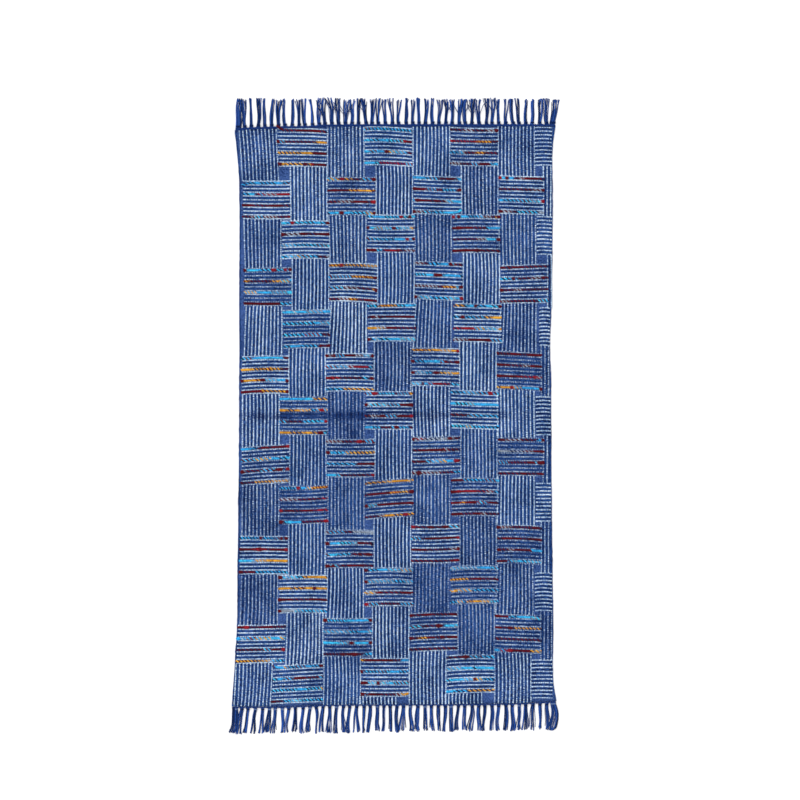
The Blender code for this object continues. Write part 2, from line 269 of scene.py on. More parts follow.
class Effects:
    """The shader groups that more than one finish uses, each built once."""

    fibre_share = 0.25
    slub_share = 0.5
    fade_share = 0.25
    tone_span = (0.4, 0.6)
    wear_span = (0.42, 0.62)
    crossing = 0.15
    # The fold's painted shade: how its line wanders, how patchy it is, and where across the rug it goes from
    # strong to weak
    wander_scale = 9.0
    patch_scale = 38.0
    crease_places = (-60 * MM, 300 * MM)
    crease_strengths = (0.9, 0.35)
    patch_strengths = (0.45, 1.15)

    def __init__(self) -> None:
        """Build the groups."""
        self.mottle = self.build_mottle()
        self.weave = self.build_weave()
        self.twist = self.build_twist()
        self.crease = self.build_crease()

    def build_mottle(self) -> bpy.types.NodeTree:
        """Build the uneven tone of dyed cotton: fine fibres, slubs and slow fading."""
        graph, given, result = new_shader_group(
            "cotton_mottle",
            {"Vector": "Vector", "Fibre Scale": "Float", "Slub Scale": "Float", "Fade Scale": "Float"},
            {"Tone": "Float", "Wear": "Float", "Height": "Float"},
        )
        fibre = graph.noise(given["Vector"], given["Fibre Scale"], 3.0, 0.6).outputs["Fac"]
        slub = graph.noise(given["Vector"], given["Slub Scale"], 2.0, 0.55).outputs["Fac"]
        fade = graph.noise(given["Vector"], given["Fade Scale"], 2.0, 0.5).outputs["Fac"]
        both = graph.math("ADD", graph.product(fibre, self.fibre_share), graph.product(slub, self.slub_share))
        tone = graph.math("ADD", both, graph.product(fade, self.fade_share))
        graph.feed(result["Tone"], graph.span(tone, *self.tone_span))
        graph.feed(result["Wear"], graph.span(fade, *self.wear_span))
        graph.feed(result["Height"], fibre)
        return graph.tree

    def build_weave(self) -> bpy.types.NodeTree:
        """Build a plain weave's height, and a painted shade that darkens the dips between its threads, from
        the place on the cloth.
        """
        graph, given, result = new_shader_group(
            "plain_weave",
            {"Vector": "Vector", "Warp Pitch": "Float", "Weft Pitch": "Float"},
            {"Height": "Float", "Shade": "Float"},
        )
        parts = graph.parts(given["Vector"])
        warps = graph.math("DIVIDE", parts[0], given["Warp Pitch"])
        across = graph.math("SINE", graph.product(warps, math.pi))
        wefts = graph.math("DIVIDE", parts[1], given["Weft Pitch"])
        along = graph.math("SINE", graph.product(wefts, math.pi))
        over = graph.span(graph.product(across, along), -self.crossing, self.crossing)
        warp = graph.math("ABSOLUTE", across)
        weft = graph.math("ABSOLUTE", along)
        height = graph.add("ShaderNodeMix", {0: over, 2: warp, 3: weft}, data_type="FLOAT").outputs[0]
        graph.feed(result["Height"], height)
        # Painted shade: the colour darkens where the threads dip
        graph.feed(result["Shade"], graph.span(height, 0.0, 0.75))
        return graph.tree

    def build_twist(self) -> bpy.types.NodeTree:
        """Build the slanting ridges of a spun yarn from its length and the way round it."""
        graph, given, result = new_shader_group(
            "spun_twist",
            {"Spin": "Vector", "Along": "Float", "Ridges": "Float", "Pitch": "Float"},
            {"Ridge": "Float"},
        )
        parts = graph.parts(given["Spin"])
        angle = graph.math("ARCTAN2", parts[1], parts[0])
        lag = graph.product(graph.math("DIVIDE", given["Along"], given["Pitch"]), math.tau)
        phase = graph.math("ADD", graph.product(angle, given["Ridges"]), lag)
        wave = graph.math("MULTIPLY_ADD", graph.math("SINE", phase), 0.5, 0.5)
        graph.feed(result["Ridge"], wave)
        return graph.tree

    def build_crease(self) -> bpy.types.NodeTree:
        """Build the painted shade of the fold's trough across the rug's middle, strongest at its left."""
        graph, given, result = new_shader_group("fold_crease", {"Vector": "Vector"}, {"Mark": "Float"})
        parts = graph.parts(given["Vector"])
        slow = graph.noise(given["Vector"], self.wander_scale, detail=1.0).outputs["Fac"]
        wander = graph.span(slow, 0.3, 0.7, -CREASE_WANDER, CREASE_WANDER)
        bell = fold_bell(graph, graph.math("ADD", parts[1], wander))
        strength = graph.span(parts[0], *self.crease_places, *self.crease_strengths)
        quick = graph.noise(given["Vector"], self.patch_scale).outputs["Fac"]
        patchy = graph.span(quick, 0.36, 0.62, *self.patch_strengths)
        graph.feed(result["Mark"], graph.product(bell, strength, patchy))
        return graph.tree


@dataclass(frozen=True)
class Finish:
    """What every cotton finish has: a name, its deep and pale colours, and its surface. The mottle blends
    between the two, and so do the ground's painted shade and the spun yarns' painted highlight.
    """
    name: str
    deep: Colour
    pale: Colour
    roughness: float = 0.92
    specular: float = 0.08
    sheen: float = 0.0
    sheen_roughness: float = 0.5
    bump_depth: float = 0.3 * MM
    bump_strength: float = 0.7
    fibre_scale: float = 520.0
    slub_scale: float = 330.0
    fade_scale: float = 14.0

    def start(self) -> tuple[bpy.types.Material, Graph, bpy.types.Node, Socket]:
        """Start the material.

        Returns:
            The material, its graph, its Principled shader and the Object coordinates.
        """
        material = bpy.data.materials.new(self.name)
        material.use_nodes = True
        graph = Graph(material.node_tree)
        shader = material.node_tree.nodes["Principled BSDF"]
        surface = {
            "Roughness": self.roughness, "Metallic": 0.0, "Specular IOR Level": self.specular,
            "Sheen Weight": self.sheen, "Sheen Roughness": self.sheen_roughness,
        }
        for label, value in surface.items():
            graph.feed(shader.inputs[label], value)
        return material, graph, shader, graph.add("ShaderNodeTexCoord").outputs["Object"]

    def mottle(self, graph: Graph, effects: Effects, place: Socket) -> bpy.types.Node:
        """Add the cotton mottle group at this finish's scales."""
        return graph.placed(effects.mottle, {
            "Vector": place, "Fibre Scale": self.fibre_scale,
            "Slub Scale": self.slub_scale, "Fade Scale": self.fade_scale,
        })

    def crease(self, graph: Graph, effects: Effects, place: Socket) -> Socket:
        """Add the fold's painted shade."""
        return graph.placed(effects.crease, {"Vector": place}).outputs["Mark"]

    def attribute(self, graph: Graph, name: str) -> bpy.types.Node:
        """Read a value that the piece's mesh carries."""
        return graph.add("ShaderNodeAttribute", attribute_name=name)

    def raise_surface(self, graph: Graph, shader: bpy.types.Node, height: Socket) -> None:
        """Feed a height to the shader's normal through a bump."""
        inputs = {"Height": height, "Distance": self.bump_depth, "Strength": self.bump_strength}
        graph.feed(shader.inputs["Normal"], graph.add("ShaderNodeBump", inputs).outputs["Normal"])


@dataclass(frozen=True)
class ClothFinish(Finish):
    """The plain woven ground of the field."""
    warp_pitch: float = 2.6 * MM
    weft_pitch: float = 2.2 * MM
    crease_shade: float = 0.6
    fibre_relief: float = 0.3

    def material(self, effects: Effects) -> bpy.types.Material:
        """Make the ground's material from the plain weave and the cotton mottle, darkened by the weave's
        painted shade in its dips and by the fold's painted shade.
        """
        material, graph, shader, place = self.start()
        mottle = self.mottle(graph, effects, place)
        weave = graph.placed(effects.weave, {
            "Vector": place, "Warp Pitch": self.warp_pitch, "Weft Pitch": self.weft_pitch,
        })
        # Painted shade: the fold and the weave's dips darken the cotton's own mottled tone towards the deep
        # colour
        kept = graph.math("MULTIPLY_ADD", self.crease(graph, effects, place), -self.crease_shade, 1.0)
        tone = graph.product(mottle.outputs["Tone"], weave.outputs["Shade"], kept)
        graph.feed(shader.inputs["Base Color"], graph.blend(tone, self.deep, self.pale))
        relief, threads = mottle.outputs["Height"], weave.outputs["Height"]
        height = graph.math("MULTIPLY_ADD", relief, self.fibre_relief, threads)
        self.raise_surface(graph, shader, height)
        return material


@dataclass(frozen=True)
class StripeFinish(Finish):
    """A row of woven picks: yarn that shows between the small dips where it goes under."""
    dip: Colour = (0.02, 0.05, 0.18)
    least_shown: float = 0.05
    fully_shown: float = 1.05
    wear: float = 0.24
    raggedness: float = 0.9
    crease_painted_shade: float = 0.85
    fibre_scale: float = 700.0

    def material(self, effects: Effects) -> bpy.types.Material:
        """Make the stripe's material, darker in its dips, darker at the fold with painted shade, and slowly
        uneven along its length.
        """
        material, graph, shader, place = self.start()
        mottle = self.mottle(graph, effects, place)
        pick = self.attribute(graph, "pick").outputs["Fac"]
        fade = self.attribute(graph, "fade").outputs["Fac"]
        faded = graph.math("MULTIPLY_ADD", mottle.outputs["Wear"], self.wear, fade)
        ragged = graph.math("MULTIPLY_ADD", mottle.outputs["Tone"], self.raggedness, pick)
        # Painted shade: at the fold the yarn gives way to the dip colour, on top of its own fading
        creased = graph.math("MULTIPLY_ADD", self.crease(graph, effects, place), self.crease_painted_shade, faded)
        held = graph.math("SUBTRACT", ragged, creased)
        shows = graph.span(held, self.least_shown, self.fully_shown)
        yarn = graph.blend(mottle.outputs["Tone"], self.deep, self.pale)
        graph.feed(shader.inputs["Base Color"], graph.blend(shows, self.dip, yarn))
        self.raise_surface(graph, shader, mottle.outputs["Height"])
        return material


@dataclass(frozen=True)
class TwistFinish(Finish):
    """Spun yarn whose colour the mesh carries, with the fine ridges of its spin as bumps and as a painted
    highlight on their crests.
    """
    spin_pitch: float = 3.2 * MM
    ridges: float = 3.0
    ridge_shade: float = 0.35
    most_deep: float = 0.5
    fibre_relief: float = 0.6
    fibre_scale: float = 900.0

    def material(self, effects: Effects) -> bpy.types.Material:
        """Make the yarn's material from its carried tint, its spin and its fibres, with a painted highlight
        along the spin's ridges.
        """
        material, graph, shader, place = self.start()
        mottle = self.mottle(graph, effects, place)
        ridge = graph.placed(effects.twist, {
            "Spin": self.attribute(graph, "spin").outputs["Vector"],
            "Along": self.attribute(graph, "along").outputs["Fac"],
            "Ridges": self.ridges, "Pitch": self.spin_pitch,
        }).outputs["Ridge"]
        tint = self.attribute(graph, "tint").outputs["Color"]
        deepened = graph.span(mottle.outputs["Tone"], 0, 1, self.most_deep, 0)
        shaded = graph.blend(deepened, tint, self.deep)
        # Painted highlight: the spin's ridges lighten the yarn towards the pale colour
        lightened = graph.span(ridge, 0, 1, 0, self.ridge_shade)
        lit = graph.blend(lightened, shaded, self.pale, "SOFT_LIGHT")
        graph.feed(shader.inputs["Base Color"], lit)
        height = graph.math("MULTIPLY_ADD", mottle.outputs["Height"], self.fibre_relief, ridge)
        self.raise_surface(graph, shader, height)
        return material


@dataclass(frozen=True)
class FloorFinish:
    """A plain pale floor."""
    name: str = "pale_floor"
    colour: Colour = (0.93, 0.93, 0.93)
    paler: Colour = (0.9393, 0.9393, 0.9393)
    roughness: float = 0.95
    tone_scale: float = 3.0

    def material(self) -> bpy.types.Material:
        """Make the floor's material."""
        material = bpy.data.materials.new(self.name)
        material.use_nodes = True
        graph = Graph(material.node_tree)
        shader = material.node_tree.nodes["Principled BSDF"]
        graph.feed(shader.inputs["Roughness"], self.roughness)
        graph.feed(shader.inputs["Specular IOR Level"], 0.0)
        place = graph.add("ShaderNodeTexCoord").outputs["Object"]
        tone = graph.noise(place, self.tone_scale).outputs["Fac"]
        graph.feed(shader.inputs["Base Color"], graph.blend(tone, self.colour, self.paler))
        return material


@dataclass
class Strand:
    """One open path of a guide, with the values that its points carry."""
    points: np.ndarray
    values: dict[str, np.ndarray | float] = field(default_factory=dict)


def guide_mesh(name: str, strands: Sequence[Strand]) -> bpy.types.Mesh:
    """Join strands into a mesh of edges whose points carry their values.

    Args:
        name: the mesh's name.
        strands: the paths, which all carry the same values.

    Returns:
        The guide mesh.
    """
    points = np.concatenate([strand.points for strand in strands])
    edges = []
    start = 0
    for strand in strands:
        count = len(strand.points)
        edges += [(start + index, start + index + 1) for index in range(count - 1)]
        start += count
    mesh = bpy.data.meshes.new(name)
    mesh.from_pydata([tuple(point) for point in points], edges, [])
    for label, sample in strands[0].values.items():
        is_colour = np.ndim(sample) == 2
        column = np.concatenate([
            np.broadcast_to(strand.values[label], (len(strand.points), *([4] * is_colour)))
            for strand in strands
        ])
        attribute = mesh.attributes.new(label, "FLOAT_COLOR" if is_colour else "FLOAT", "POINT")
        attribute.data.foreach_set("color" if is_colour else "value", column.astype(np.float32).ravel())
    return mesh


class GrowthTree:
    """A Geometry Nodes tree with named inputs that turns a guide into a finished piece."""

    def __init__(
        self, name: str, sizes: dict[str, float], fill: Callable[[Graph, dict[str, Socket]], Socket],
    ) -> None:
        """Build the tree.

        Args:
            name: the tree's name.
            sizes: its named inputs with their usual values.
            fill: adds the nodes that make the shape, and gives the geometry that they end in.
        """
        self.tree = bpy.data.node_groups.new(name, "GeometryNodeTree")
        face = self.tree.interface
        face.new_socket("Guide", in_out="INPUT", socket_type="NodeSocketGeometry")
        for label, usual in sizes.items():
            face.new_socket(label, in_out="INPUT", socket_type="NodeSocketFloat").default_value = usual
        face.new_socket("Material", in_out="INPUT", socket_type="NodeSocketMaterial")
        face.new_socket("Piece", in_out="OUTPUT", socket_type="NodeSocketGeometry")
        graph = Graph(self.tree)
        source = graph.add("NodeGroupInput")
        shape = fill(graph, {socket.name: socket for socket in source.outputs})
        smooth = graph.add("GeometryNodeSetShadeSmooth", {"Geometry": shape}).outputs[0]
        real = graph.add("GeometryNodeRealizeInstances", {"Geometry": smooth}).outputs[0]
        finish = source.outputs["Material"]
        dressed = graph.add("GeometryNodeSetMaterial", {"Geometry": real, "Material": finish})
        graph.add("NodeGroupOutput", {0: dressed.outputs[0]})

    def grow(
        self, name: str, guide: bpy.types.Mesh, material: bpy.types.Material, **sizes: float,
    ) -> bpy.types.Object:
        """Grow one piece as a plain mesh.

        Args:
            name: the piece's name.
            guide: the mesh that the tree starts from.
            material: the piece's finish.
            sizes: the tree's inputs, with underscores for spaces.

        Returns:
            The finished object, at the origin, with no modifier.
        """
        holder = bpy.data.objects.new(f"{name}_guide", guide)
        bpy.context.scene.collection.objects.link(holder)
        modifier = holder.modifiers.new("grow", "NODES")
        modifier.node_group = self.tree
        given = {label.replace("_", " "): value for label, value in sizes.items()}
        given["Material"] = material
        for item in self.tree.interface.items_tree:
            if item.item_type == "SOCKET" and item.in_out == "INPUT" and item.name in given:
                modifier[item.identifier] = given[item.name]
        graph = bpy.context.evaluated_depsgraph_get()
        mesh = bpy.data.meshes.new_from_object(
            holder.evaluated_get(graph), preserve_all_data_layers=True, depsgraph=graph)
        mesh.name = name
        holder.modifiers.remove(modifier)
        bpy.data.objects.remove(holder, do_unlink=True)
        return place_piece(name, mesh)


def place_piece(name: str, mesh: bpy.types.Mesh) -> bpy.types.Object:
    """Put a mesh in the scene as an object at the origin."""
    piece = bpy.data.objects.new(name, mesh)
    bpy.context.scene.collection.objects.link(piece)
    return piece


def own_place(graph: Graph) -> Socket:
    """Read the place of each point."""
    return graph.add("GeometryNodeInputPosition").outputs[0]


def moved(graph: Graph, shape: Socket, offset: Socket) -> Socket:
    """Move a shape's points by an offset."""
    return graph.add("GeometryNodeSetPosition", {"Geometry": shape, "Offset": offset}).outputs[0]


def add_drift(graph: Graph, curve: Socket, amount: object, scale: float) -> Socket:
    """Shift a curve's points in the cloth's plane, by the same slow field for every piece.

    Args:
        graph: the geometry tree's graph.
        curve: the curve to shift.
        amount: the largest shift.
        scale: the noise scale, higher for shorter waves.

    Returns:
        The shifted curve.
    """
    colour = graph.noise(own_place(graph), scale, detail=1.0).outputs["Color"]
    centred = graph.vector_math("SUBTRACT", colour, (0.5, 0.5, 0.5))
    flat = graph.vector_math("MULTIPLY", centred, (2.0, 2.0, 0.0))
    return moved(graph, curve, graph.scaled(flat, amount))


def sunk_at_crease(graph: Graph, curve: Socket) -> Socket:
    """Let a curve sink where it crosses the fold's soft trough."""
    bell = fold_bell(graph, graph.parts(own_place(graph))[1])
    return moved(graph, curve, graph.joined(0.0, 0.0, graph.product(bell, -CREASE_DEPTH)))


def resampled_curve(graph: Graph, guide: Socket, length: object) -> Socket:
    """Turn a guide's edges into curves with evenly spaced points."""
    curve = graph.add("GeometryNodeMeshToCurve", {"Mesh": guide}).outputs[0]
    node = graph.add("GeometryNodeResampleCurve", mode="LENGTH")
    graph.feed(node.inputs["Curve"], curve)
    graph.feed(node.inputs["Length"], length)
    return node.outputs[0]


def stored(graph: Graph, shape: Socket, name: str, value: Socket, kind: str = "FLOAT") -> Socket:
    """Store a value on a shape's points under a name."""
    node = graph.add("GeometryNodeStoreNamedAttribute", {"Name": name}, data_type=kind, domain="POINT")
    graph.feed(node.inputs["Geometry"], shape)
    graph.feed(node.inputs["Value"], value)
    return node.outputs[0]


def carried(graph: Graph, name: str, kind: str = "FLOAT") -> Socket:
    """Read a value that the guide's points carry."""
    return graph.add("GeometryNodeInputNamedAttribute", {"Name": name}, data_type=kind).outputs[0]


def ring_profile(graph: Graph, sides: int, squash: object = 1.0) -> Socket:
    """Make a closed profile of radius 1 that stores the way round it, for a sweep.

    Args:
        graph: the geometry tree's graph.
        sides: how many points it has.
        squash: its height over its width.

    Returns:
        The profile curve.
    """
    ring = graph.add("GeometryNodeCurvePrimitiveCircle", {"Resolution": sides, "Radius": 1.0}).outputs[0]
    marked = stored(graph, ring, "spin", own_place(graph), "FLOAT_VECTOR")
    inputs = {"Geometry": marked, "Scale": graph.joined(1.0, squash, 1.0)}
    return graph.add("GeometryNodeTransform", inputs).outputs[0]


def swept(graph: Graph, curve: Socket, profile: Socket, scale: object) -> Socket:
    """Sweep a profile along a curve, with closed ends."""
    inputs = {"Curve": curve, "Profile Curve": profile, "Scale": scale, "Fill Caps": True}
    return graph.add("GeometryNodeCurveToMesh", inputs).outputs[0]


def level(graph: Graph, curve: Socket) -> Socket:
    """Keep a curve's profile level with the floor."""
    return graph.add("GeometryNodeSetCurveNormal", {"Curve": curve}, mode="Z_UP").outputs[0]


# How the yarns wander and swell: noise scales, and the least and greatest width over the usual one
DRIFT_SCALE = 9.0
WOBBLE_SCALE = 70.0
UNEVEN_SCALE = 190.0
UNEVEN_WIDTHS = (0.6, 1.36)
YARN_SIDES = 5

# A knot's coil, with its yarn's radius, counted in the knot's own radius and length
COIL = {"Resolution": 8, "Rotations": 2.2, "Start Radius": 1.0, "End Radius": 0.92, "Height": 1.1}
COIL_YARN = 0.33


def fill_stripe_tree(graph: Graph, given: dict[str, Socket]) -> Socket:
    """Make rows of woven picks: low ridges that pinch and dip where the yarn goes under."""
    curve = resampled_curve(graph, given["Guide"], graph.product(given["Pick Length"], 0.5))
    length = graph.add("GeometryNodeSplineParameter").outputs["Length"]
    turns = graph.product(graph.math("DIVIDE", length, given["Pick Length"]), math.pi)
    pick = graph.math("ABSOLUTE", graph.math("SINE", graph.math("ADD", turns, carried(graph, "phase"))))
    grain = graph.noise(own_place(graph), UNEVEN_SCALE).outputs["Fac"]
    uneven = graph.span(grain, 0.3, 0.7, *UNEVEN_WIDTHS)
    pinched = graph.math("SUBTRACT", 1.0, graph.product(graph.math("SUBTRACT", 1.0, pick), given["Dip"]))
    width = graph.product(pinched, uneven, carried(graph, "weight"), given["Half Width"])
    sized = stored(graph, stored(graph, curve, "pick", pick), "half", width)
    drifted = add_drift(graph, sized, given["Drift"], DRIFT_SCALE)
    wobbled = add_drift(graph, drifted, given["Wobble"], WOBBLE_SCALE)
    profile = ring_profile(graph, 4, given["Flatness"])
    return swept(graph, level(graph, sunk_at_crease(graph, wobbled)), profile, carried(graph, "half"))


def fill_plied_tree(graph: Graph, given: dict[str, Socket]) -> Socket:
    """Make two-ply yarns: two strands that wind round each other, each with its own tint."""
    resampled = resampled_curve(graph, given["Guide"], given["Segment"])
    curve = add_drift(graph, resampled, given["Drift"], DRIFT_SCALE)
    length = graph.add("GeometryNodeSplineParameter").outputs["Length"]
    tangent = graph.add("GeometryNodeInputTangent").outputs[0]
    side = graph.vector_math("CROSS_PRODUCT", (0.0, 0.0, 1.0), tangent)
    swell = carried(graph, "swell")
    wound_length = graph.product(length, carried(graph, "wind"))
    turns = graph.product(graph.math("DIVIDE", wound_length, given["Turn Length"]), math.tau)
    plies = []
    for number, tint in enumerate(("tint_a", "tint_b")):
        angle = graph.math("ADD", graph.math("ADD", turns, carried(graph, "phase")), math.pi * number)
        out = graph.product(graph.math("COSINE", angle), given["Throw"], swell)
        lift = graph.product(graph.math("SINE", angle), given["Lift"], swell)
        offset = graph.vector_math("ADD", graph.scaled(side, out), graph.joined(0.0, 0.0, lift))
        marked = stored(graph, curve, "along", length)
        marked = stored(graph, marked, "tint", carried(graph, tint, "FLOAT_COLOR"), "FLOAT_COLOR")
        marked = stored(graph, marked, "half", graph.product(swell, given["Ply Radius"]))
        wound = level(graph, moved(graph, marked, offset))
        plies.append(swept(graph, wound, ring_profile(graph, YARN_SIDES), carried(graph, "half")))
    joined = graph.add("GeometryNodeJoinGeometry")
    for ply in reversed(plies):
        graph.tree.links.new(ply, joined.inputs[0])
    return joined.outputs[0]


def fill_strand_tree(graph: Graph, given: dict[str, Socket]) -> Socket:
    """Make single strands that thin a little towards their tips."""
    curve = resampled_curve(graph, given["Guide"], given["Segment"])
    parameter = graph.add("GeometryNodeSplineParameter")
    thinned = graph.math("SUBTRACT", 1.0, graph.product(parameter.outputs["Factor"], given["Taper"]))
    marked = stored(graph, curve, "along", parameter.outputs["Length"])
    half = graph.product(thinned, given["Radius"], carried(graph, "weight"))
    sized = level(graph, stored(graph, marked, "half", half))
    return swept(graph, sized, ring_profile(graph, YARN_SIDES), carried(graph, "half"))


def fill_wrap_tree(graph: Graph, given: dict[str, Socket]) -> Socket:
    """Make knots: a short tight coil of yarn round each tassel's neck."""
    coil = graph.add("GeometryNodeCurveSpiral", COIL).outputs[0]
    coil = stored(graph, coil, "along", graph.add("GeometryNodeSplineParameter").outputs["Length"])
    wrap = swept(graph, coil, ring_profile(graph, YARN_SIDES), COIL_YARN)
    centring = {"Geometry": wrap, "Translation": (0.0, 0.0, -COIL["Height"] / 2)}
    turn = graph.joined(math.pi / 2, 0.0, carried(graph, "lean"))
    placing = {
        "Points": graph.add("GeometryNodeMeshToPoints", {"Mesh": given["Guide"]}).outputs[0],
        "Instance": graph.add("GeometryNodeTransform", centring).outputs[0],
        "Rotation": graph.add("FunctionNodeEulerToRotation", {0: turn}).outputs[0],
        "Scale": graph.joined(
            given["Radius"], graph.product(given["Radius"], given["Flatness"]), given["Length"]),
    }
    return graph.add("GeometryNodeInstanceOnPoints", placing).outputs[0]


class Trees:
    """The Geometry Nodes trees that grow the rug's repeated parts."""

    def __init__(self) -> None:
        """Build the trees with their usual sizes."""
        self.stripe = GrowthTree("stripe_rows", {
            "Pick Length": 5 * MM, "Half Width": 1.5 * MM, "Flatness": 0.4, "Dip": 0.4,
            "Drift": 1.6 * MM, "Wobble": 0.42 * MM,
        }, fill_stripe_tree)
        self.plied = GrowthTree("plied_yarns", {
            "Segment": 1.8 * MM, "Ply Radius": 1.6 * MM, "Throw": 1.45 * MM, "Lift": 0.8 * MM,
            "Turn Length": 8.6 * MM, "Drift": 1.6 * MM,
        }, fill_plied_tree)
        self.strand = GrowthTree("loose_strands", {
            "Segment": 4 * MM, "Radius": 0.75 * MM, "Taper": 0.16,
        }, fill_strand_tree)
        self.wrap = GrowthTree("neck_wraps", {
            "Radius": 3.2 * MM, "Length": 3.0 * MM, "Flatness": 0.62,
        }, fill_wrap_tree)


class Outline:
    """The field's edges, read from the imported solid's own outline."""

    corner_reach = 630 * MM
    floor_depth = 0.1 * MM

    def __init__(self, node: bpy.types.Object) -> None:
        """Sort the solid's floor points into its four edges.

        Args:
            node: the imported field.
        """
        low = [vertex.co for vertex in node.data.vertices if vertex.co.z < self.floor_depth]
        flat = {(round(place.x, 6), round(place.y, 6)) for place in low}
        ends = {end: sorted(p for p in flat if p[1] * end.value > self.corner_reach) for end in End}
        self.ends = {end: np.array(points) for end, points in ends.items()}
        middle = [p for p in flat if abs(p[1]) <= self.corner_reach]
        left = [(y, x) for x, y in middle + [ends[end][0] for end in End] if x < 0]
        right = [(y, x) for x, y in middle + [ends[end][-1] for end in End] if x > 0]
        self.left = np.array(sorted(left))
        self.right = np.array(sorted(right))

    def left_at(self, along: float) -> float:
        """Give the left selvedge's place across the rug."""
        return float(np.interp(along, self.left[:, 0], self.left[:, 1]))

    def right_at(self, along: float) -> float:
        """Give the right selvedge's place across the rug."""
        return float(np.interp(along, self.right[:, 0], self.right[:, 1]))

    def end_at(self, end: End, across: float) -> float:
        """Give the field's far or near edge at a place across the rug."""
        return float(np.interp(across, self.ends[end][:, 0], self.ends[end][:, 1]))

    def corners(self, end: End) -> Point:
        """Give where an end's left and right corners lie across the rug."""
        return float(self.ends[end][0, 0]), float(self.ends[end][-1, 0])


@dataclass(frozen=True)
class Block:
    """A four-sided block of stripes, given by its corners."""
    lay: Lay
    far_left: Point
    far_right: Point
    near_left: Point
    near_right: Point
    bow: float = 0.0
    slant: float = 0.0
    weight: float = 1.0
    fade: float = 0.0
    dye: float = 0.0

    def at(self, across: float, down: float) -> Point:
        """Give a place in the block.

        Args:
            across: 0 at its left edge and 1 at its right.
            down: 0 at its far edge and 1 at its near.

        Returns:
            The place, with the block's bow in it.
        """
        far = [a + (b - a) * across for a, b in zip(self.far_left, self.far_right)]
        near = [a + (b - a) * across for a, b in zip(self.near_left, self.near_right)]
        x, y = (a + (b - a) * down for a, b in zip(far, near))
        if self.lay is Lay.LYING:
            return x, y + self.bow * 4 * across * (1 - across) + self.slant * (across - 0.5)
        inner = across * (1 - across) * 4
        return x + (self.bow * 4 * down * (1 - down) + self.slant * (down - 0.5)) * inner, y


